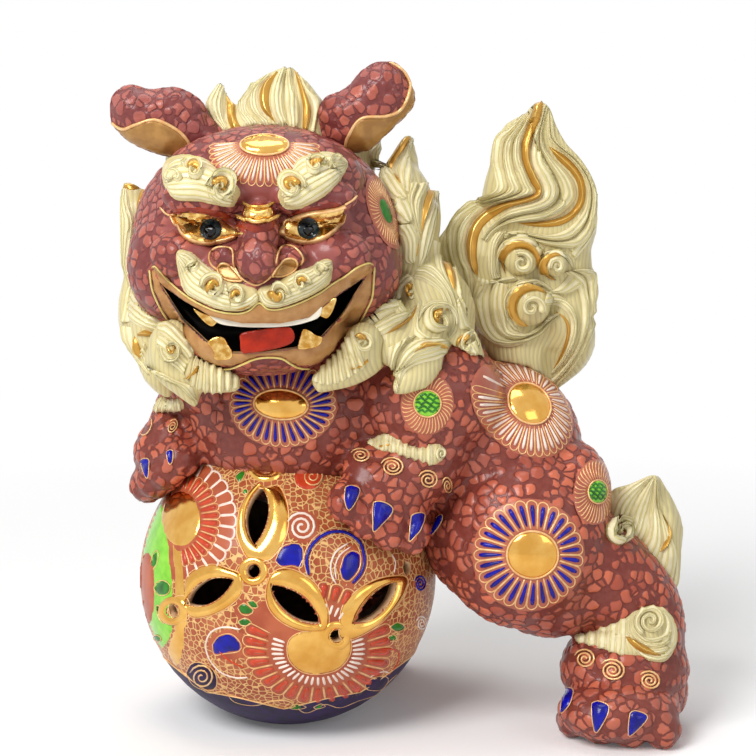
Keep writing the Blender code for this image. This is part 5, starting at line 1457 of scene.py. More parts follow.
# Lines of enamel on the ball, with their widths in millimetres.
BALL_TRAILS = (
    ("LINE", 0.5, [(307.4, 575.4), (303.8, 559.9), (308.2, 545.5), (319.4, 533.5), (335, 528.2),
                   (349.4, 529.9), (362.6, 540.7), (367.4, 559.9), (363.8, 574.2), (354.2, 585.8)]),
    ("NAVY", 1.5, [(308.6, 574.7), (306.7, 559.9), (311, 546.7), (321.8, 535.9), (335, 531.6),
                   (348.2, 533.5), (360.2, 543.1), (364.3, 559.9), (360.9, 573), (352.3, 583.4)]),
    ("LINE", 0.5, [(310.6, 573.3), (309.8, 559.9), (313.9, 548.3), (324.2, 538.8), (335, 534.9),
                   (347, 536.8), (357.1, 545.5), (360.9, 559.9), (357.8, 571.8), (349.4, 581.4)]),
    ("WHITE", 0.9, [(348.2, 543.1), (336.2, 551.5), (330.7, 564.7), (332.1, 576.6), (336.2, 583.8)]),
    ("WHITE", 0.7, [(350.6, 546.7), (339.8, 555.1), (335, 567.1), (336.2, 579)]),
    ("WHITE", 0.9, [(240.3, 629.4), (224.7, 627), (211.5, 631.8), (206, 643.8), (209.1, 658.2),
                    (219.9, 671.4), (234.3, 677.4), (247.5, 677.4)]),
    ("RED", 1, [(243.9, 667.8), (229.5, 660.6), (219.9, 651), (219.9, 643.8)]),
    ("WHITE", 0.8, [(369.8, 677.4), (375.8, 673), (385.4, 671.4), (389.7, 673.8)]),
    ("RED", 0.9, [(368.6, 651), (383, 648.6), (397.4, 651), (397.4, 663), (387.8, 675)]),
    ("WHITE", 0.7, [(391.4, 553.9), (395.4, 562.3), (393.8, 573)]),
    ("WHITE", 0.7, [(224.7, 449.5), (230.7, 450), (236.7, 449.1)]),
    ("LINE", 0.7, [(179.1, 669), (195.9, 682.6), (207.9, 692.2), (224.7, 691.8), (234.3, 701.3),
                   (253.5, 705.2), (272.7, 700.9), (289.4, 701.3), (303.8, 712.1), (315.8, 709),
                   (325.4, 703.7), (339.8, 707.3), (359, 700.1), (375.8, 694.1), (392.6, 677.4),
                   (411.8, 663)]),
    ("LINE", 0.6, [(306.2, 576.6), (299, 569.4), (303.8, 557.5)]),
)
# Spirals of enamel on the ball: their middles, their radii in pixels, and the lines' widths in mm.
BALL_SWIRLS = (
    ("LINE", (312.2, 477.1), 12, 0.6),
    ("WHITE", (301.9, 526.8), 14.9, 1),
    ("LINE", (202.6, 676.2), 12.5, 0.7),
    ("NAVY", (420.1, 583.8), 8.2, 0.8),
    ("WHITE", (421.3, 623.4), 7.7, 0.7),
)


# The main casts

body = make_body()
BODY_TREE = tree_of(body)
head, head_plain = make_head()
LIP_TREE = tree_of(head_plain)
ball = make_ball()

stamp(body)
finish(body, SKIN, ("torso", "left_hind_leg", "right_hind_leg", "left_foreleg",
                                 "right_foreleg"))
# Where the face has no pebbles, and how far round in mm: the moustache, the cheeks beside it, the bridge of
# the nose, the eyes' outer corners and the forehead.
CALM_SPOTS = (((200, 262), 9), ((318, 258), 9), ((258, 190), 10), ((180, 225), 9), ((336, 222), 9),
              ((262, 160), 9))
calm = [(landing(LIP_TREE, photo, place)[0], reach) for place, reach in CALM_SPOTS]
stamp(head, pebbles=0.5, calm=calm, size=5.2, hollow=widened(MOUTH_HOLE, 2, 2))
inside_mouth(head)
finish(head, [FACE_SKIN, MOUTH_SHADE], ("head", "lower_jaw"))
# The ball's outside is painted, the edges of its holes are pale clay and its inside is dark, as painted
# shade.
outward = 0.7
for face in ball.data.polygons:
    out = (face.center - spot(*BALL)).normalized().dot(face.normal)
    face.material_index = 0 if out > outward else 2 if out < -outward else 1
finish(ball, [BALL_GROUND, CLAY, SHADED_BISCUIT], ("ball",))

# The hair's casts: the nodes that each replaces, its grain in millimetres, and how often it is smoothed.
HAIR_MASSES = (
    ("crown_mass", ("crown_tuft",), 0.9, 2),
    ("mane_mass", ("back_mane", "left_mane", "right_mane"), 1.4, 4),
    ("beard_mass", ("left_beard", "right_beard"), 1.0, 3),
    ("tail_mass", ("tail",), 1.2, 4),
    ("tail_curl_mass", ("upper_tail_curl", "outer_tail_curl", "lower_tail_curl"), 0.9, 2),
    ("tuft_mass", ("left_hock_tuft", "right_hock_tuft"), 1.0, 3),
    ("far_anklet_mass", ("right_ankle_curl",), 0.9, 3))
# Lobes that the photograph shows wider than the casts: their outlines, and their depths of Y.
LOBES = {
    "tail_mass": ([(538, 103), (549, 107), (556, 125), (566, 143), (580, 158), (591, 175), (597, 192),
                   (597, 215), (590, 235), (570, 215), (560, 190), (545, 165), (536, 130)], 24, 40),
    "tuft_mass": ([(611, 492), (630, 484), (655, 475), (659, 492), (668, 512), (679, 535), (681, 560),
                   (676, 588), (655, 570), (630, 540), (612, 520)], 3, 15)}
masses = {}
for name, nodes, grain, smoothing in HAIR_MASSES:
    lobes = [slab(rounded(LOBES[name][0], 2), *LOBES[name][1:])] if name in LOBES else []
    mass = melt(name, copied(*nodes) + lobes, grain, smoothing)
    masses[name] = finish(mass, SHADED_HAIR_GROUND, nodes)


def dress(mass, tree, line, cream, gilt, rise=1.0):
    """Lays the locks and curls that are listed for one mass of hair."""
    for name, gold, groups, strands, height, left, right in LOCKS:
        if name == mass:
            locks(gilt if gold else cream, tree, line, left, right, groups, strands, height * rise)
    for name, gold, *place, height, squash in CURLS:
        if name == mass:
            curl(gilt if gold else cream, tree, line, *place, height * rise, squash)


# In front the hair stands higher than listed, so that its lines show in the render.
FRONT_RISE = 1.45
# The short locks along the beard's edges: their upper and lower ends, and how many.
FRINGES = (
    ([(192, 340), (200, 352), (208, 364), (222, 369), (240, 368)],
     [(184, 377), (192, 385), (202, 389), (216, 392), (239, 386)], 8),
    ([(354, 330), (341, 346), (323, 362.5), (299.6, 367)],
     [(366, 366), (344, 380), (322, 384), (299, 371)], 10))
for mass in ("crown", "mane", "beard", "tail"):
    tree = tree_of(*[masses[mass + end] for end in ("_mass", "_curl_mass") if mass + end in masses])
    cream, gilt = Build(mass + "_locks"), Build(mass + "_gilding")
    dress(mass, tree, photo, cream, gilt, FRONT_RISE)
    for name, gold, *rest in CRESCENTS:
        if name == mass:
            crescent(gilt if gold else cream, tree, photo, *rest)
    if mass == "beard":
        for upper, lower, count in FRINGES:
            rungs(cream, tree, photo, upper, lower, count, height=2.4)
    cream.piece(HAIR, "cream_glaze")
    gilt.piece(HAIR_GOLD, "gold_lustre")


# The face

# The ears and their hollows, the right one being the lion's own.
RIGHT_EAR = [(224, 133), (211, 117), (203, 102), (188, 91), (170, 86), (151, 89), (129, 84), (114, 93),
             (108, 109), (113, 126), (127, 141), (145, 150), (163, 156), (190, 158), (215, 150)]
LEFT_EAR = [(318, 115), (324, 98), (346, 87), (363, 69), (383, 60), (402, 67), (415, 91), (413, 108),
            (394, 128), (375, 146), (365, 152), (345, 152), (325, 142)]
RIGHT_EAR_HOLLOW = [(109, 121), (122, 129), (135, 125), (155, 120), (177, 130), (189, 143), (188, 156),
                    (163, 157), (145, 151), (127, 142), (114, 130)]
LEFT_EAR_HOLLOW = [(410, 87), (402, 108), (387, 116), (361, 119), (348, 137), (345, 148), (352, 153),
                   (366, 153), (376, 147), (395, 129), (414, 109), (416, 92)]
EAR_FRONT, EAR_BACK, EAR_ROUNDING = -13, 9, 26
hollows, rims = Build("ear_hollows"), Build("ear_rims")
for name, outline, hollow, rim in (
        ("right_ear", RIGHT_EAR, RIGHT_EAR_HOLLOW, [*RIGHT_EAR_HOLLOW[:6], (190, 154)]),
        ("left_ear", LEFT_EAR, LEFT_EAR_HOLLOW, [(389, 61), (404, 72), *LEFT_EAR_HOLLOW[:6]])):
    ear = melt("pebbled_" + name, [slab(rounded(outline, 3), EAR_FRONT, EAR_BACK)], grain=0.7, smoothing=26)
    round_over(ear, outline, EAR_FRONT, EAR_BACK, EAR_ROUNDING)
    tree = tree_of(ear)
    patch(hollows, tree, photo, rounded(hollow, 2.5), grain=2.5, dome=-0.6, sink=0.3, lift=0.6)
    trail(rims, tree, photo, rim, width=1.5, lift=0.2)
    stamp(ear, pebbles=0.4, size=5.0)
    finish(ear, FACE_SKIN, (name,))
hollows.piece(OCHRE, "gold_lustre")
rims.piece(LINE, "gold_lustre")

nose = melt("pebbled_nose", copied("nose"), grain=0.5, smoothing=8)
FACE_TREE = tree_of(head_plain, nose)
stamp(nose, pebbles=0.3, size=4.2)
finish(nose, FACE_SKIN, ("nose",))

BROWS = ([(164, 165), (177, 155), (203, 157), (220, 171), (240, 189), (237, 202), (229, 208), (198, 202),
          (175, 200), (164, 184)],
         [(278, 193), (290, 171), (298, 158), (318, 152), (335, 153), (348, 163), (341, 180), (324, 197),
          (298, 210), (283, 207)])
pads = Build("brow_pads")
for outline in BROWS:
    patch(pads, FACE_TREE, photo, rounded(outline, 2.5), grain=2.5, dome=5.0, sink=0.6)
pads = pads.piece(CREAM, "cream_glaze", ("left_brow", "right_brow"))
lips_up = Build("moustache_pads")
for outline in (LEFT_TASH, RIGHT_TASH):
    patch(lips_up, FACE_TREE, photo, rounded(outline, 2.5), grain=2.5, dome=4.0, sink=0.6)
lips_up = lips_up.piece(CREAM, "cream_glaze", ("left_moustache", "right_moustache"))
tree = tree_of(head_plain, pads, lips_up)
# Locks of the brows and the moustache: how many side by side, their strands, and their two rails.
FACE_LOCKS = (
    (2, 4, [(166, 183), (166, 168), (178, 158), (203, 159), (221, 172), (236, 188)],
     [(168, 186), (176, 198), (198, 200), (214, 203), (222, 206), (230, 206)]),
    (1, 3, [(205, 185), (208, 198), (222, 205), (233, 203)],
     [(212, 184), (214, 194), (224, 200), (233, 198)]),
    (2, 4, [(347, 163), (335, 155), (318, 154), (300, 159), (291, 171), (281, 192)],
     [(346, 167), (340, 179), (323, 195), (305, 205), (296, 207), (286, 205)]),
    (2, 4, [(177, 253), (188, 252), (198, 258), (208, 266), (218, 274), (226, 282)],
     [(178, 256), (180, 273), (186, 291), (198, 300), (216, 308), (232, 310)]),
    (1, 3, [(224, 300), (236, 303), (248, 298), (256, 292)],
     [(218, 307), (236, 310), (250, 306), (258, 300)]),
    (2, 4, [(332, 261), (322, 260), (310, 267), (298, 271), (290, 276)],
     [(332, 265), (327, 281), (313, 293), (298, 300), (282, 306)]),
    (1, 3, [(262, 290), (266, 298), (276, 302), (292, 298)],
     [(260, 300), (266, 306), (278, 307), (294, 302)]))
# Curls of the brows and the moustache: middle, radius, turns, starting angle, and 1 for clockwise.
FACE_CURLS = (
    ((221, 188), 16.5, 2.0, 190, 1), ((194, 172), 13, 1.7, 200, 1), ((177, 178), 9, 1.4, 160, 1),
    ((293, 187), 15, 2.0, 0, -1), ((315, 168), 12, 1.7, -20, -1), ((333, 164), 8, 1.4, -30, -1),
    ((214, 287), 14, 1.9, 190, 1), ((237, 295), 10.5, 1.6, 200, 1), ((194, 268), 9, 1.4, 200, 1),
    ((279, 294), 12, 1.8, -10, -1), ((300, 284), 10.5, 1.6, -10, -1), ((318, 272), 8, 1.4, -10, -1))
# The gold on those curls, without the turns.
FACE_GILDING = (
    ((221, 188), 13, 200, 1), ((196, 171), 10, 190, 1), ((292, 188), 13, -20, -1), ((314, 168), 9, -20, -1),
    ((216, 287), 11, 150, 1), ((238, 295), 8, 150, 1), ((278, 293), 11, 180, -1), ((300, 284), 8, -20, -1))
GILT_TIP = [(229, 303), (238, 305), (248, 302)], [(228, 308), (240, 310), (250, 306)]
FACE_CURL_HEIGHT = 4.6
cream, gilt = Build("face_locks"), Build("face_gilding")
for groups, strands, left, right in FACE_LOCKS:
    locks(cream, tree, photo, left, right, groups, strands, height=1.2, lift=0.3)
for centre, radius, turns, start, hand in FACE_CURLS:
    curl(cream, tree, photo, centre, radius, turns * 0.8, start, hand, strands=3, height=FACE_CURL_HEIGHT)
for centre, radius, start, hand in FACE_GILDING:
    curl(gilt, tree, photo, centre, radius, turns=0.7, start=start, hand=hand, strands=1,
         height=FACE_CURL_HEIGHT)
locks(gilt, tree, photo, *GILT_TIP, groups=1, strands=1, height=1.7, lift=0.4)
cream.piece(HAIR, "cream_glaze")
gilt.piece(HAIR_GOLD, "gold_lustre")

eyes = Build("gilded_eyes")
for outline in (LEFT_LOOK, RIGHT_LOOK):
    patch(eyes, FACE_TREE, photo, rounded(outline, 2.0), grain=1.6, dome=2.2, sink=0.2)
eyes = eyes.piece(EYE_GOLD, "gold_lustre", ("left_eye", "right_eye"))
EYE_TREE = tree_of(eyes)

# The middles of the irises, and the pupils' middles and radii.
IRISES = (210.9, 229.3), (308.2, 228.4)
PUPILS = ((209.8, 231), 6.6), ((308.8, 230.5), 5.8)
irises, pupils = Build("irises"), Build("pupils")
for centre in IRISES:
    disc(irises, EYE_TREE, photo, centre, 11.2, 11, grain=1.6, dome=0.9, lift=0.1)
irises = irises.piece(IRIS, "tooth_glaze")
tree = tree_of(irises)
for centre, reach in PUPILS:
    disc(pupils, tree, photo, centre, reach, reach, grain=1.2, dome=0.35, lift=0.05)
pupils.piece(PUPIL, "tooth_glaze")

# The bridge of the nose, and the gilded spool on it with its upper and lower rolls.
BRIDGE = [(246, 205), (271, 204), (276, 222), (270, 231), (258, 233), (247, 231), (241, 222)]
SPOOL = [(248, 208), (258, 211), (269, 208), (270, 219), (258, 222.5), (246, 219)]
SPOOL_TOP = [(246.5, 206.5), (252, 210), (258.5, 211), (264.5, 210), (270, 206.5)]
SPOOL_FOOT = [(242, 217.5), (249, 222), (258, 224), (266.5, 222), (274, 217.5)]
lids = Build("coral_lids")
for outline, dome in ((LEFT_LID, 1.6), (RIGHT_LID, 1.6), (BRIDGE, 1.2)):
    patch(lids, FACE_TREE, photo, rounded(outline, 2.0), grain=2.0, dome=dome, sink=0.3)
lids.piece(BROWN_RED, "red_glaze")
# The gold lines round the eyes run along their upper and lower edges, and leave the corners open.
edges = Build("face_lines")
for outline in (LEFT_LOOK[:6], [*LEFT_LOOK[7:], LEFT_LOOK[0]],
                RIGHT_LOOK[:7], [*RIGHT_LOOK[7:], RIGHT_LOOK[0]]):
    trail(edges, FACE_TREE, photo, outline, width=1.1, lift=0.8, height=1.4)
for outline in (LEFT_FLICK, RIGHT_FLICK, LEFT_WING, RIGHT_WING):
    trail(edges, FACE_TREE, photo, outline, width=0.95, lift=0.1)
for outline in (LEFT_NOSTRIL, RIGHT_NOSTRIL):
    trail(edges, FACE_TREE, photo, outline, width=0.95, lift=0.25, closed=True)
edges.piece(LINE, "gold_lustre")
holes = Build("nostrils")
for outline in (LEFT_NOSTRIL, RIGHT_NOSTRIL):
    patch(holes, FACE_TREE, photo, rounded(outline, 2.0), grain=1.6, dome=0.25, sink=0.2, lift=0.1)
holes.piece(OCHRE, "gold_lustre")
ring = Build("bridge_spool")
patch(ring, FACE_TREE, photo, rounded(SPOOL, 2), grain=1.6, dome=1.6, sink=0.2, lift=1.0)
trail(ring, FACE_TREE, photo, SPOOL_TOP, width=1.6, lift=2.2, height=1.2)
trail(ring, FACE_TREE, photo, SPOOL_FOOT, width=1.8, lift=2.2, height=1.4)
ring.piece(EYE_GOLD, "gold_lustre", ("bridge_ring",))

# The lips, each along its outer edge and back along its inner one.
UPPER_LIP = [(152, 268), (155, 266), (160, 271), (170, 282), (184, 294), (198, 303), (217, 311),
             (237, 313.5), (249, 310.5), (259, 303), (268, 309), (280, 309), (298, 303.5), (318, 294),
             (331, 285), (345, 276), (356, 268), (368, 263), (373, 265), (370, 274), (361, 280), (339, 295),
             (311, 318), (281, 324), (242, 324), (211, 317), (183, 301), (160, 284)]
LOWER_LIP = [(150, 270), (153, 290), (162, 310), (172, 325), (183, 338), (193, 352), (198, 360), (208, 366),
             (218, 368), (230, 368), (242, 364), (254, 359), (266, 357), (281, 358), (290, 363), (298, 367),
             (307, 368), (316, 367), (326, 361), (335, 351), (348, 338), (359, 323), (367, 308), (372, 295),
             (374, 267), (369, 268), (363, 281), (342, 315), (320, 338), (296, 347), (262, 352), (229, 352),
             (207, 341), (183, 319), (162, 286), (155, 270)]
lips = Build("lips")
for outline, dome in ((UPPER_LIP, 1.6), (LOWER_LIP, 2.0)):
    patch(lips, LIP_TREE, photo, outline, grain=2.4, dome=dome, sink=0.4)
lips.piece(LIP, "lip_glaze")
rims = Build("lip_lines")
trail(rims, LIP_TREE, photo, UPPER_LIP[:19], width=0.8, lift=0.3)
for part in (LOWER_LIP[:6], LOWER_LIP[6:20], LOWER_LIP[20:25]):
    trail(rims, LIP_TREE, photo, part, width=0.9, lift=0.5)
rims.piece(STRAND_LINE, "gold_lustre")

TOOTH_BAND = [(208, 312), (225, 317), (258, 320), (290, 318), (314, 312), (322, 306), (320, 316),
              (311, 321), (290, 326), (262, 327.5), (236, 326.5), (218, 323)]
TONGUE_TIP = (266, 352)
teeth_front, teeth_back, tongue_back = -68, -54, -42
teeth = solid_from("upper_tooth_band", TOOTH_BAND, teeth_front, teeth_back, grain=0.5, smoothing=4)
finish(teeth, TOOTH, ("upper_teeth",))
for name, outline in zip(("right_upper_fang", "left_upper_fang"), UPPER_FANGS):
    front = lip_depth(min(outline, key=lambda place: place[1])) - 1.5
    finish(solid_from("gilded_" + name, outline, front, front + 8, grain=0.4, smoothing=3), EYE_GOLD,
           (name,))
for name, outline in zip(("right_lower_fang", "left_lower_fang"), LOWER_FANGS):
    front = lip_depth(max(outline, key=lambda place: place[1])) - 2.8
    finish(solid_from("gilded_" + name, outline, front, front + 9, grain=0.45, smoothing=3), EYE_GOLD,
           (name,))
tongue_front = lip_depth(TONGUE_TIP) - 2.5
bpy.data.objects.remove(head_plain)
tongue = solid_from("coral_tongue", TONGUE_FORM, tongue_front, tongue_back, grain=0.6, smoothing=8)
finish(tongue, TONGUE, ("tongue",))


# The painted medallions

def far(px, py):
    """The same line of sight, followed from behind the lion."""
    origin, way = photo(px, py)
    return origin + way * 2, -way


def angles_of(count, first=0, span=360):
    """The middles of equal shares of a span of degrees."""
    return [first + span * (i + 0.5) / count for i in range(count)]


grounds, domes, rims = Build("medallion_grounds"), Build("gold_domes"), Build("medallion_lines")
white_drops, navy_drops = Build("white_petals"), Build("navy_petals")
greens = Build("green_bosses")
# Each medallion's boss and the outer edge of its petals: ovals with a middle, two radii and a lean.
RUMP = ((529.1, 403.7), 23, 18.5, 40), ((522.2, 408.4), 56, 39.5, 42)
THIGH = ((532.5, 554.7), 25.5, 23.4, 0), ((528.6, 555), 54, 54, 0)
CHEST = ((281, 404.5), 27, 14.8, 4), ((283, 404), 52, 42, 0)
SHOULDER = ((427.5, 403.6), 13.4, 13.2, 0), ((427.3, 404.3), 25.5, 30, 8)
REAR = ((597.5, 491.9), 9.6, 11.7, 4), ((595, 492), 20.5, 31.5, 4)
FAR_THIGH = ((508, 548), 25, 23, 0), ((506, 548), 50, 50, 0)

# A hooked petal drawn in one line: places across and along it.
HOOK = (0, 0), (-0.4, 0.5), (0, 0.85), (0.7, 0.98)
plates = ((photo, RUMP), (photo, THIGH), (photo, CHEST), (photo, SHOULDER), (photo, REAR),
          (far, RUMP), (far, FAR_THIGH), (far, SHOULDER), (far, REAR))
for line, (_, (centre, wide, high, lean)) in plates:
    disc(grounds, BODY_TREE, line, centre, wide * 1.05, high * 1.05, grain=3.5, dome=0.3, lift=0.1,
         lean=lean)
grounds = grounds.piece(SALMON, "red_glaze")
MEDAL_TREE = tree_of(grounds)
for line, (inner, outer), drops, petals, size, edge in (
        (photo, RUMP, white_drops, 34, (0.7, 1.7), 0.5), (photo, THIGH, navy_drops, 27, (1.0, 2.5), 0.65),
        (photo, CHEST, navy_drops, 31, (0.8, 2.0), 0.55), (far, RUMP, white_drops, 34, (0.7, 1.7), 0.5),
        (far, FAR_THIGH, navy_drops, 27, (0.9, 2.3), 0.65)):
    bloom(drops, rims, MEDAL_TREE, line, (inner[0], inner[1] * 1.08, inner[2] * 1.1, inner[3]), outer,
          angles_of(petals), 180 / petals, edge, size)
    centre, wide, high, lean = inner
    rim = disc(domes, MEDAL_TREE, line, centre, wide, high, grain=2.0, dome=1.5, lift=0.2, lean=lean)
    trail(rims, MEDAL_TREE, line, rim, width=1.0, lift=0.35, closed=True)
for line, (inner, outer), hooks in ((photo, SHOULDER, 38), (photo, REAR, 36), (far, SHOULDER, 38),
                                    (far, REAR, 36)):
    start = (inner[0], inner[1] * 1.1, inner[2] * 1.1, inner[3])
    for angle in angles_of(hooks):
        hook = [petal(start, outer, angle, 180 / hooks, *place) for place in HOOK]
        trail(rims, MEDAL_TREE, line, hook, width=(0.42, 0.62), lift=0.0, step=4)
    centre, wide, high, lean = inner
    rim = disc(greens, MEDAL_TREE, line, centre, wide, high, grain=2.0, dome=0.9, lift=0.2, lean=lean)
    trail(rims, MEDAL_TREE, line, rim, width=0.8, lift=0.3, closed=True)
greens = greens.piece(LIME, "ball_glaze")
tree = tree_of(greens)
# Five wavering lines across each green boss.
scribbles = Build("green_scribbles")
for line, (centre, wide, high, lean) in ((photo, SHOULDER[0]), (photo, REAR[0]), (far, SHOULDER[0]),
                                         (far, REAR[0])):
    for level in (-0.66, -0.36, -0.05, 0.25, 0.55):
        reach = math.sqrt(1 - level**2) * 0.9
        places = [(centre[0] + wide * reach * s,
                   centre[1] + high * (level + 0.1 * math.sin(9 * s + 7 * level)))
                  for s in np.linspace(-1, 1, 9)]
        trail(scribbles, tree, line, places, width=1.1, lift=0.0, step=3)
scribbles.piece(GREEN, "ball_glaze")

# The crown's and the temples' ornaments lie on the head.
FOREHEAD = ((264.5, 145.4), 24, 10, 0), ((264.5, 152), 55, 34, 0)
TEMPLE = ((386, 211), 4.5, 13, -20), ((385, 212), 14, 37, -20)
plates = Build("forehead_ground")
disc(plates, FACE_TREE, photo, TEMPLE[1][0], 15, 39, grain=3.0, dome=0.25, lift=0.1, lean=-20)
patch(plates, FACE_TREE, photo, [tuple(oval(*FOREHEAD[1], angle)) for angle in np.linspace(-18, 198, 44)],
      grain=3.0, dome=0.2)
plates = plates.piece(SALMON, "red_glaze")
tree = tree_of(head, plates)
bloom(white_drops, rims, tree, photo, (FOREHEAD[0][0], 27, 12, 0), FOREHEAD[1],
      angles_of(22, -14, 208), 4.7, 0.5, (0.7, 1.4))
rim = disc(domes, tree, photo, *FOREHEAD[0][:3], grain=2.0, dome=1.3, lift=0.4)
trail(rims, tree, photo, rim, width=1.0, lift=0.5, closed=True)
tree = tree_of(plates)
for angle in angles_of(44):
    hook = [petal((TEMPLE[0][0], 5.5, 14.5, -20), TEMPLE[1], angle, 4, *place)
            for place in (*HOOK[:2], (0, 0.9))]
    trail(rims, tree, photo, hook, width=(0.4, 0.6), lift=0.0, step=4)
boss = Build("green_temple_boss")
disc(boss, tree, photo, *TEMPLE[0][:3], grain=2.0, dome=0.9, lift=0.2, lean=-20)
boss.piece(GREEN, "ball_glaze")
white_drops.piece(WHITE, "tooth_glaze")
navy_drops.piece(NAVY, "ball_glaze")
domes.piece(GOLD, "gold_lustre")
rims.piece(LINE, "gold_lustre")


# The ball's painting

# The enamels on the ball, by the names that its lists use.
POOLS = {"NAVY": NAVY, "RED": RED, "PURPLE": PURPLE, "GREEN": GREEN, "LIME": LIME, "WHITE": WHITE,
         "LINE": LINE, "SALMON": TERRACOTTA}
shell = globe(BALL_RADIUS, 96)
GLOBE = tree_of(shell)
bpy.data.objects.remove(shell)
BALL_AXIS = spot(*BALL)


def behind(px, py):
    """The photograph's line of sight turned half around the ball."""
    origin, way = photo(px, py)
    half = Matrix.Rotation(math.pi, 3, "Z")
    return BALL_AXIS + half @ (origin - BALL_AXIS), half @ way


def polar(azimuth, elevation):
    """A line straight at the ball's middle."""
    out = direction(azimuth, elevation)
    return BALL_AXIS + out * 0.2, -out


# Where the photograph shows the ball's holes, so that the painting stops at them.
SLOT_PIXELS = []
for a, b in SLOTS:
    middle, along, across, outline = leaf(direction(*HUBS[a]), direction(*HUBS[b]), half=13.8, rise=5.0)
    rim = [(middle * BALL_RADIUS + along * u + across * v).normalized() for u, v in outline]
    SLOT_PIXELS.append([seen_at(BALL_AXIS + out * BALL_RADIUS * MM) for out in rim])
HUB_DOTS = {name: seen_at(BALL_AXIS + direction(*place) * BALL_RADIUS * MM) for name, place in HUBS.items()}
HUB_HOLES = {name: [tuple(oval(dot, 6.6, 6.6, 0, angle)) for angle in np.linspace(0, 360, 40, False)]
             for name, dot in HUB_DOTS.items()}
HOLES = [*SLOT_PIXELS, *HUB_HOLES.values()]


def wound(outline):
    """The outline with its winding the same way round as the clock, as the photograph is seen."""
    area = sum(ax * by - bx * ay for (ax, ay), (bx, by) in zip(outline, [*outline[1:], outline[0]]))
    return outline if area > 0 else outline[::-1]


builds = {name: Build(name.lower() + "_ball_enamel") for name in POOLS}
gilt = Build("ball_gilding")
# The middles of the two great flowers, of the gold boss in the upper one, and of the lime panel's flower.
LOWER, UPPER, PANEL_BOSS, LEAF_FLOWER = (318, 650), (179, 519), (181, 519), (148, 588)
# Plain ground under the flowers, so that the net stops there: middle and two radii.
GROUNDS = (
    ((318, 643), 78, 63), (UPPER, 60, 63), ((303, 526), 18, 18), ((229, 645), 22, 17), ((352, 566), 16, 22),
    ((288, 556), 17, 15), ((230, 454), 14, 13), ((246, 611), 13, 13))
# The gilded strip and the lime panel at the ball's edge.
STRIP = [(160, 484), (168, 480), (172, 494), (176, 545), (181, 548), (184, 561), (186, 593), (189, 620),
         (185, 632), (183.5, 654), (176, 668), (167, 650), (173.5, 628), (174, 600), (172, 560), (167, 520)]
PANEL = [(146, 494), (152, 488), (160, 487), (167, 520), (172, 560), (174, 595), (174, 626), (167, 645),
         (158, 648), (146, 620), (139, 585), (138, 545), (140, 520)]
# Rings of petals: what fills and rims them, the ovals that they lie between, how many, the angle that
# they start at, their span, the rim's width, and the filling's two widths.
BLOOMS = (
    ("WHITE", None, (LOWER, 33, 26, 0), ((318, 648), 49, 38, 0), 27, -20, 220, 0.5, (1.3, 1.5)),
    ("RED", "LINE", ((318, 648), 50, 39, 0), ((318, 644), 75, 60, 0), 19, -22, 224, 0.6, (2.4, 4.2)),
    ("RED", "LINE", (LOWER, 50, 50, 0), (LOWER, 70, 68, 0), 3, -90, 34, 0.6, (2.2, 3.6)),
    ("WHITE", None, (LOWER, 36, 36, 0), (LOWER, 49, 49, 0), 5, -92, 40, 0.5, (1.2, 1.4)),
    ("RED", "LINE", (UPPER, 21, 30, 0), (UPPER, 41, 48, 0), 18, -105, 190, 0.5, (1.8, 2.6)),
    (None, "WHITE", (UPPER, 41, 47, 0), (UPPER, 57, 63, 0), 15, -100, 180, 1.1, None))
# Petals whose rims have this width have a vein.
VEINED = 0.6
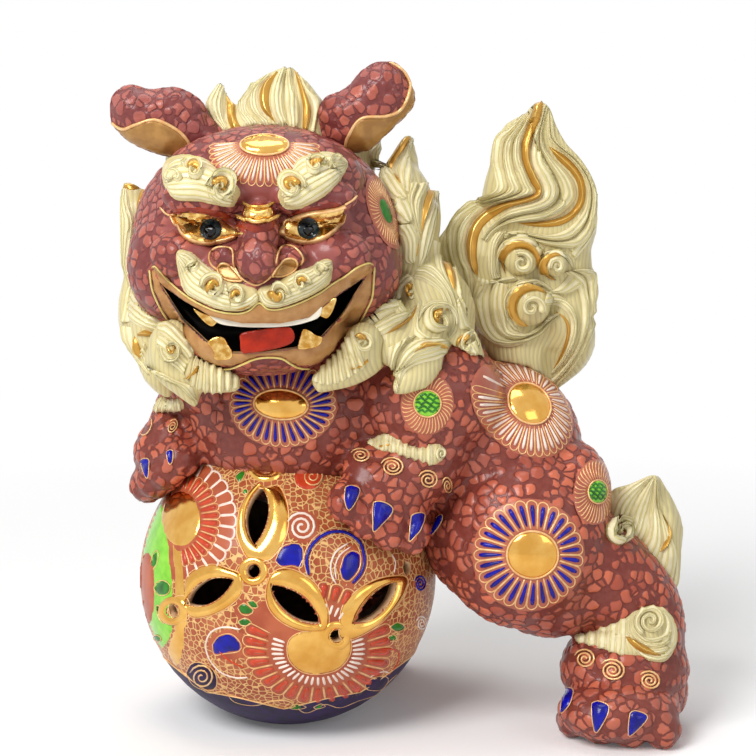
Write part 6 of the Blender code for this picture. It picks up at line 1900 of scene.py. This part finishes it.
# The lime panel's leaves: middle, two radii and lean.
LEAVES = (((155.5, 560), 3.2, 9.5, 14), ((163, 588), 8, 7.5, 0), ((161.5, 614), 3, 9.5, -22),
          ((158, 638), 4, 3, 30))
for line in (photo, behind):
    for centre, wide, high in GROUNDS:
        disc(builds["SALMON"], GLOBE, line, centre, wide, high, grain=4.0, dome=0.05, lift=0.1, holes=HOLES)
    for i, outer in enumerate(GILT_SHAPES):
        outer = rounded(outer, 2.5)
        if i in GILT_FRAMES:
            hole = min(SLOT_PIXELS, key=lambda s: np.linalg.norm(np.mean(s, 0) - np.mean(outer, 0)))
            band(gilt, GLOBE, line, wound(outer), wound(hole), dome=1.3)
        elif i == GILT_PATCH:
            patch(gilt, GLOBE, line, outer, grain=1.6, dome=0.7, sink=0.2, lift=0.2, holes=HOLES)
        trail(builds["LINE"], GLOBE, line, outer, width=0.5, lift=0.15, step=3, closed=True)
    for name, dot in HUB_DOTS.items():
        wide = 19 if name == "top" else 15
        ring = [tuple(oval(dot, wide, 15, 0, angle)) for angle in np.linspace(0, 360, 40, False)]
        if name != "inner":
            band(gilt, GLOBE, line, wound(ring), wound(HUB_HOLES[name]), dome=1.1)
    patch(gilt, GLOBE, line, rounded(STRIP, 2.5), grain=2.5, dome=0.5, holes=HOLES)
    disc(gilt, GLOBE, line, PANEL_BOSS, 20, 28, grain=3.0, dome=0.9, lift=0.2)
    patch(builds["LIME"], GLOBE, line, rounded(PANEL, 2.5), grain=2.5, dome=0.45, holes=HOLES)
    for name, outline in BALL_POOLS:
        patch(builds[name], GLOBE, line, rounded(outline, 2.5), grain=2.5, dome=0.7, sink=0.2, holes=HOLES)
        trail(builds["LINE"], GLOBE, line, outline, width=0.5, lift=0.2, step=3, closed=True)
    for name, width, places in BALL_TRAILS:
        trail(builds[name], GLOBE, line, places, width, lift=0.1, step=3)
    for name, centre, radius, width in BALL_SWIRLS:
        # Near the ball's edge the camera sees them narrower.
        wide = radius * (0.72 if centre[0] > 410 else 1)
        lift = 0.55 if name == "LINE" else 0.1
        swirl(builds[name], GLOBE, line, centre, wide, radius, turns=2.3, width=width * 1.3, start=200,
              lift=lift)
    for fill, rim, inner, outer, count, first, span, width, drop in BLOOMS:
        half, turns = span / count / 2, angles_of(count, first, span)
        bloom(fill and builds[fill], rim and builds[rim], GLOBE, line, inner, outer, turns, half, width,
              drop, ends=(0.1, 0.86), height=0.6)
        for angle in turns if width == VEINED else ():
            vein = [petal(inner, outer, angle, half, 0, share) for share in (0.12, 0.4, 0.6)]
            trail(builds["SALMON"], GLOBE, line, vein, width=0.9, lift=0.45, smooth=False)
    disc(builds["SALMON"], GLOBE, line, LEAF_FLOWER, 9, 37, grain=2.5, dome=0.4, lift=0.5)
    for angle in angles_of(14, -90, 180):
        ray = [oval(LEAF_FLOWER, 3, 12, 0, angle), oval(LEAF_FLOWER, 8.6, 35, 0, angle)]
        trail(builds["LINE"], GLOBE, line, ray, width=0.5, lift=0.9, smooth=False)
    for centre, wide, high, lean in LEAVES:
        rim = disc(builds["GREEN"], GLOBE, line, centre, wide, high, grain=2.0, dome=0.3, lift=0.5,
                   lean=lean)
        trail(builds["LINE"], GLOBE, line, rim, width=0.45, lift=0.5, step=3, closed=True)
gilt.piece(GOLD, "gold_lustre")

# The foot of the ball is dipped in purple, its edge scalloped; its purple is darkened as painted shade.
foot, count, rows, lowest, thick = Build("purple_foot"), 180, 9, -83, 0.3
turns = [360 * i / count for i in range(count)]
edge = [-46 + 15 * math.sin(math.radians(turn)) ** 2 + 4 * abs(math.sin(math.radians(turn) * 4.5))
        for turn in turns]
corners = [BALL_AXIS + direction(turn, level) * (BALL_RADIUS + thick) * MM
           for turn, top in zip(turns, edge) for level in np.linspace(top, lowest, rows)]
faces = []
for i in range(count):
    here, ahead = i * rows, (i + 1) % count * rows
    faces += [[here + j, here + j + 1, ahead + j + 1, ahead + j] for j in range(rows - 1)]
foot.add(corners, faces)
foot.piece(PURPLE, "ball_glaze")
trail(builds["LINE"], GLOBE, polar, list(zip(turns, edge)), width=0.8, lift=0.2, closed=True, smooth=False)
for name, build in builds.items():
    build.piece(POOLS[name], "ball_glaze")


# Claws, and the hair on the legs

def scaled(scale, left, top, *places):
    """Pixels of the frame from places in an enlarged corner of the photograph."""
    return [(left + x / scale, top + y / scale) for x, y in places]


# The parts of the photograph that were enlarged to draw the legs: their scale, left edge and top.
TUFT, ANKLET = (5.124, 430, 450), (9.8, 540, 600)
LEFT_CUFF, RIGHT_CUFF = (10.45, 330, 420), (11.2, 100, 370)
CLAWS = (
    scaled(*LEFT_CUFF, (155, 745), (165, 700), (225, 682), (308, 715), (298, 790), (255, 880), (195, 945),
           (165, 890), (150, 820)),
    scaled(*LEFT_CUFF, (455, 860), (515, 848), (595, 870), (655, 920), (640, 985), (560, 1075), (458, 1168),
           (448, 1060), (445, 950)),
    scaled(*LEFT_CUFF, (850, 1000), (900, 972), (985, 975), (985, 1050), (945, 1150), (900, 1205),
           (830, 1270), (830, 1180), (838, 1090)),
    scaled(*LEFT_CUFF, (1110, 1020), (1145, 990), (1172, 992), (1172, 1040), (1130, 1120), (1080, 1180),
           (1048, 1200), (1050, 1160)),
    scaled(*RIGHT_CUFF, (455, 1010), (490, 990), (545, 1000), (548, 1080), (540, 1180), (522, 1215),
           (480, 1130), (460, 1060)),
    scaled(*RIGHT_CUFF, (745, 920), (780, 895), (815, 905), (818, 960), (808, 1030), (782, 1058),
           (760, 1020), (748, 960)),
    scaled(*ANKLET, (235, 865), (290, 858), (325, 880), (318, 940), (285, 1030), (210, 1110), (200, 1060),
           (215, 960)),
    scaled(*ANKLET, (508, 1010), (570, 990), (660, 1025), (675, 1075), (640, 1170), (550, 1300),
           (515, 1200), (505, 1090)),
    scaled(*ANKLET, (885, 1105), (930, 1085), (1020, 1110), (1055, 1150), (1000, 1230), (880, 1335),
           (865, 1290), (870, 1190)))

claws, quicks = Build("cobalt_claws"), Build("claw_lines")
for outline in CLAWS:
    patch(claws, BODY_TREE, photo, rounded(outline, 1.5), grain=1.5, dome=1.3, sink=0.3)
    trail(quicks, BODY_TREE, photo, outline, width=0.55, lift=0.0, step=2, closed=True)
claws.piece(NAVY, "ball_glaze")
# The spirals on the toes: middle, two radii, turns, the line's width in millimetres, and lean.
TOE_SWIRLS = (
    ((360.7, 455.5), 10.3, 7.5, 2.3, 0.75, 0), ((392.4, 466.8), 12.2, 9.8, 2.8, 0.8, 0),
    ((428.3, 479.6), 10.3, 9.8, 2.4, 0.8, 0), ((447.5, 485.8), 5.2, 9.3, 2.2, 0.7, -8),
    ((172.4, 426.6), 5, 8.2, 2.3, 0.6, 30), ((145.3, 426.8), 6.5, 11.5, 2.6, 0.65, 25),
    ((135, 430.5), 3.6, 8.5, 2.0, 0.6, 20),
    ((585, 658.8), 10.8, 10.0, 2.5, 0.95, 0), ((612.6, 670.3), 13.3, 11.4, 2.8, 1.0, 10),
    ((649.6, 680.6), 11.2, 9.8, 2.6, 1.0, 15))
for centre, wide, high, turns, width, lean in TOE_SWIRLS:
    swirl(quicks, BODY_TREE, photo, centre, wide, high, turns, width, start=200, lean=lean, lift=0.1)
quicks.piece(LINE, "gold_lustre")

# Rows of short locks over the paws, how many there are, and their upper and lower ends.
CUFFS = (
    (LEFT_CUFF, 9, [(385, 212), (470, 180), (570, 150), (660, 175), (760, 240), (850, 270), (935, 288),
                    (1015, 285), (1080, 255)],
     [(390, 225), (480, 300), (570, 325), (660, 335), (745, 360), (830, 390), (915, 412), (995, 440),
      (1085, 475)]),
    (RIGHT_CUFF, 5, [(680, 290), (735, 325), (790, 335), (845, 325), (900, 315)],
     [(600, 470), (680, 468), (760, 465), (845, 462), (930, 440)]),
    (ANKLET, 5, [(345, 350), (440, 328), (540, 298), (640, 268), (740, 232), (850, 175)],
     [(340, 400), (450, 425), (545, 450), (640, 480), (735, 515), (840, 540)]))
# Where two of their pads run on past the last lock, round a curl.
PAD_ENDS = {
    ANKLET: [(945, 105), (1160, 65), (1235, 85), (1310, 190), (1343, 350), (1315, 505), (1230, 600),
             (1110, 608), (980, 548)],
    LEFT_CUFF: [(1165, 265), (1225, 350), (1165, 430)]}
pads = Build("leg_hair_pads")
for crop, _, upper, lower in CUFFS:
    rim = scaled(*crop, *upper, *PAD_ENDS.get(crop, ()), *lower[::-1])
    patch(pads, BODY_TREE, photo, rounded(rim, 2.0), grain=2.0, dome=4.0 if crop == ANKLET else 3.0,
          sink=0.6)
pads = pads.piece(SHADED_HAIR_GROUND, "cream_glaze", ("left_cuff", "right_cuff", "left_ankle_curl"))
PAD_TREE = tree_of(pads)
TUFT_TREE = tree_of(masses["tuft_mass"])
# Locks on the legs: what carries them, the enlarged part that their places count in, whether they are
# gilded, how many lie side by side, their strands and height, and their two rails.
LEG_LOCKS = (
    (TUFT_TREE, TUFT, 0, 2, 4, 2.0, [(905, 400), (935, 265), (1000, 190), (1085, 145), (1148, 132)],
     [(1058, 500), (1108, 420), (1130, 300), (1142, 200), (1155, 138)]),
    (TUFT_TREE, TUFT, 0, 2, 4, 2.0, [(1060, 508), (1115, 430), (1135, 310), (1146, 210), (1157, 142)],
     [(1270, 725), (1276, 560), (1236, 430), (1186, 320), (1166, 175)]),
    (TUFT_TREE, TUFT, 1, 1, 2, 3.4, [(1188, 325), (1212, 400), (1200, 470), (1165, 525)],
     [(1196, 338), (1238, 420), (1226, 490), (1172, 532)]),
    (PAD_TREE, ANKLET, 0, 4, 3, 2.2, [(850, 185), (835, 320), (880, 440), (980, 540), (1110, 600),
                                      (1230, 590)],
     [(945, 110), (925, 220), (965, 310), (1060, 370), (1170, 355), (1270, 290)]),
    (PAD_TREE, ANKLET, 0, 2, 3, 2.0, [(1225, 600), (1310, 500), (1338, 350), (1305, 190), (1210, 70)],
     [(1180, 360), (1225, 290), (1235, 210), (1215, 140), (1160, 85)]),
    (PAD_TREE, ANKLET, 1, 1, 2, 3.4, [(838, 365), (900, 460), (1000, 525), (1165, 548)],
     [(862, 352), (960, 400), (1080, 470), (1190, 540)]),
    (PAD_TREE, LEFT_CUFF, 1, 1, 1, 3.0, [(515, 260), (560, 250), (640, 240)],
     [(525, 290), (570, 300), (620, 265)]))
# Their curls: middle, radius, turns, starting angle, 1 for clockwise, strands, height, and squash.
LEG_CURLS = (
    (tree_of(body, masses["tuft_mass"]), TUFT, (978, 420), 95, 1.7, -40, -1, 3, 4.6, 1),
    (PAD_TREE, ANKLET, (1080, 205), 165, 2.2, 120, 1, 3, 3.4, 1),
    (PAD_TREE, LEFT_CUFF, (1165, 350), 80, 1.6, 90, 1, 2, 2.6, 0.8))
cream, gilt = Build("leg_locks"), Build("leg_gilding")
for crop, count, upper, lower in CUFFS:
    rungs(cream, PAD_TREE, photo, scaled(*crop, *upper), scaled(*crop, *lower), count, height=1.7)
for tree, crop, gold, groups, strands, height, left, right in LEG_LOCKS:
    left, right = scaled(*crop, *left), scaled(*crop, *right)
    locks(gilt if gold else cream, tree, photo, left, right, groups, strands, height)
for tree, crop, centre, radius, turns, start, hand, strands, height, squash in LEG_CURLS:
    centre, = scaled(*crop, centre)
    curl(cream, tree, photo, centre, radius / crop[0], turns, start, hand, strands, height, squash)
cream.piece(HAIR, "cream_glaze")
gilt.piece(HAIR_GOLD, "gold_lustre")


# The far side

def flame(top, length, width, sway):
    """The rails of a lock that hangs from a place, bends once and ends in a point."""
    left, right = [], []
    for share in np.linspace(0, 1, 7):
        middle = np.array((top[0] + sway * math.sin(2.6 * share), top[1] + length * share))
        half = width / 2 * (1 - share) ** 0.5 + 0.4
        left.append(middle - (half, 0))
        right.append(middle + (half, 0))
    return left, right


def lies(tree, line, places):
    """Whether every place meets the skin, each near the one before it."""
    hits = [tree.ray_cast(*line(*place))[0] for place in places]
    nearest = 16 * MM
    return None not in hits and all((b - a).length < nearest for a, b in zip(hits, hits[1:]))


far_cream, far_gilt = Build("far_locks"), Build("far_gilding")
dress("tail", tree_of(masses["tail_mass"]), far, far_cream, far_gilt)

# The back of the mane: rows of flame shaped locks from the foot up, each row half a lock aside, that
# bend away from the middle. About a third are gilded along one edge.
ROWS, COLUMNS, FIRST, ACROSS, DOWN = 7, 12, (110, 350), 30, 42
WIDTH, GILDED_SHARE = 33, 0.35
tree = tree_of(masses["mane_mass"])
chance = random.Random(7)
for row in range(ROWS):
    for column in range(COLUMNS):
        top = (FIRST[0] + ACROSS * column + ACROSS / 2 * (row % 2) + chance.uniform(-4, 4),
               FIRST[1] - DOWN * row + chance.uniform(-5, 5))
        length = chance.uniform(74, 92)
        sway = chance.uniform(8, 15) * (1 if column >= COLUMNS / 2 else -1)
        left, right = flame(top, length, WIDTH, sway)
        gilded = chance.random() < GILDED_SHARE
        if not lies(tree, far, [*left, *right[::-1]]):
            continue
        locks(far_cream, tree, far, left, right, groups=1, strands=4, height=2.6 + 0.5 * (column % 2))
        if gilded:
            edge = [a + (b - a) * 0.7 for a, b in zip(left, right)]
            locks(far_gilt, tree, far, edge[3:], right[3:], groups=1, strands=2, height=3.4)
tree = tree_of(masses["crown_mass"])
for name, gold, groups, strands, height, left, right in LOCKS:
    if name == "crown" and lies(tree, far, left[1:-1]):
        locks(far_gilt if gold else far_cream, tree, far, left, right, groups, strands, height)
far_cream.piece(HAIR, "cream_glaze")
far_gilt.piece(HAIR_GOLD, "gold_lustre")


# Stage, light and camera

def plain_rays(tree):
    """One for the camera's, mirrored and transmitted rays, which see the background as plain white."""
    path = add(tree, "ShaderNodeLightPath", out=None).outputs
    seen = add(tree, MATH, {0: path["Is Camera Ray"], 1: path["Is Glossy Ray"]}, operation="MAXIMUM")
    return add(tree, MATH, {0: seen, 1: path["Is Transmission Ray"]}, operation="MAXIMUM")


bpy.ops.object.select_all(action="DESELECT")
bpy.ops.mesh.primitive_circle_add(vertices=96, radius=6.0, fill_type="NGON", location=(0, 0, 0))
floor = bpy.context.object
floor.name = "studio_floor"
floor_paint = bpy.data.materials.new("white_studio_paper")
floor_paint.use_nodes = True
tree = floor_paint.node_tree
paper = tree.nodes["Principled BSDF"]
paper.inputs["Base Color"].default_value = linear("#ffffff")
paper.inputs["Roughness"].default_value = 0.9
paper.inputs["Specular IOR Level"].default_value = 0.1
glow = tree.nodes.new("ShaderNodeEmission")
glow.inputs["Strength"].default_value = 1.0
place = add(tree, PLACE, out="Object")
away = add(tree, "ShaderNodeVectorMath", {0: place}, out="Value", operation="LENGTH")
# Near the lion the paper shows its shadow; farther out the camera sees it as plain white.
near, clear, least = 0.22, 0.6, 0.08
fade = add(tree, "ShaderNodeMapRange", {0: away, 1: near, 2: clear, 3: least, 4: 1.0})
seen = plain_rays(tree)
fade = add(tree, MATH, {0: fade, 1: seen}, operation="MULTIPLY")
blend = add(tree, "ShaderNodeMixShader", {0: fade, 1: paper.outputs[0], 2: glow.outputs[0]})
tree.links.new(blend, tree.nodes["Material Output"].inputs[0])
floor.data.materials.append(floor_paint)

# The room's light on the lion is weak, and the background is plain white.
ROOM_LIGHT, PLAIN_WHITE = 0.28, 1.0
world = bpy.data.worlds.new("studio")
bpy.context.scene.world = world
world.use_nodes = True
tree = world.node_tree
sky = tree.nodes["Background"]
sky.inputs["Color"].default_value = (1, 1, 1, 1)
sky.inputs["Strength"].default_value = ROOM_LIGHT
white = tree.nodes.new("ShaderNodeBackground")
white.inputs["Color"].default_value = (1, 1, 1, 1)
white.inputs["Strength"].default_value = PLAIN_WHITE
seen = plain_rays(tree)
blend = add(tree, "ShaderNodeMixShader", {0: seen, 1: sky.outputs[0], 2: white.outputs[0]})
tree.links.new(blend, tree.nodes["World Output"].inputs[0])


LION_MIDDLE = Vector((0, 0, 0.14))


def lamp(name, place, watts, size):
    """A soft box that faces the lion, in metres."""
    light = bpy.data.lights.new(name, "AREA")
    light.energy = watts
    light.size = size
    made = linked(name, light)
    made.location = place
    made.rotation_euler = (LION_MIDDLE - Vector(place)).to_track_quat("-Z", "Y").to_euler()


lamp("key_softbox", (-0.8, -1.1, 1.3), watts=27, size=0.8)
lamp("fill_softbox", (1.1, -1.1, 0.9), watts=3.5, size=0.8)
lamp("top_softbox", (-0.1, 0.2, 1.6), watts=8, size=0.9)

camera = bpy.data.cameras.new("camera")
camera.sensor_width = 36
camera.lens = FOCAL / FRAME * camera.sensor_width
camera.shift_x = (FRAME / 2 - AIM[0]) / FRAME
camera.shift_y = (AIM[1] - FRAME / 2) / FRAME
camera.clip_start = 0.01
eye = linked("camera", camera)
eye.location = EYE
eye.rotation_euler = (math.pi / 2 - TILT, 0, 0)
bpy.context.scene.camera = eye
bpy.context.scene.view_settings.view_transform = "Standard"
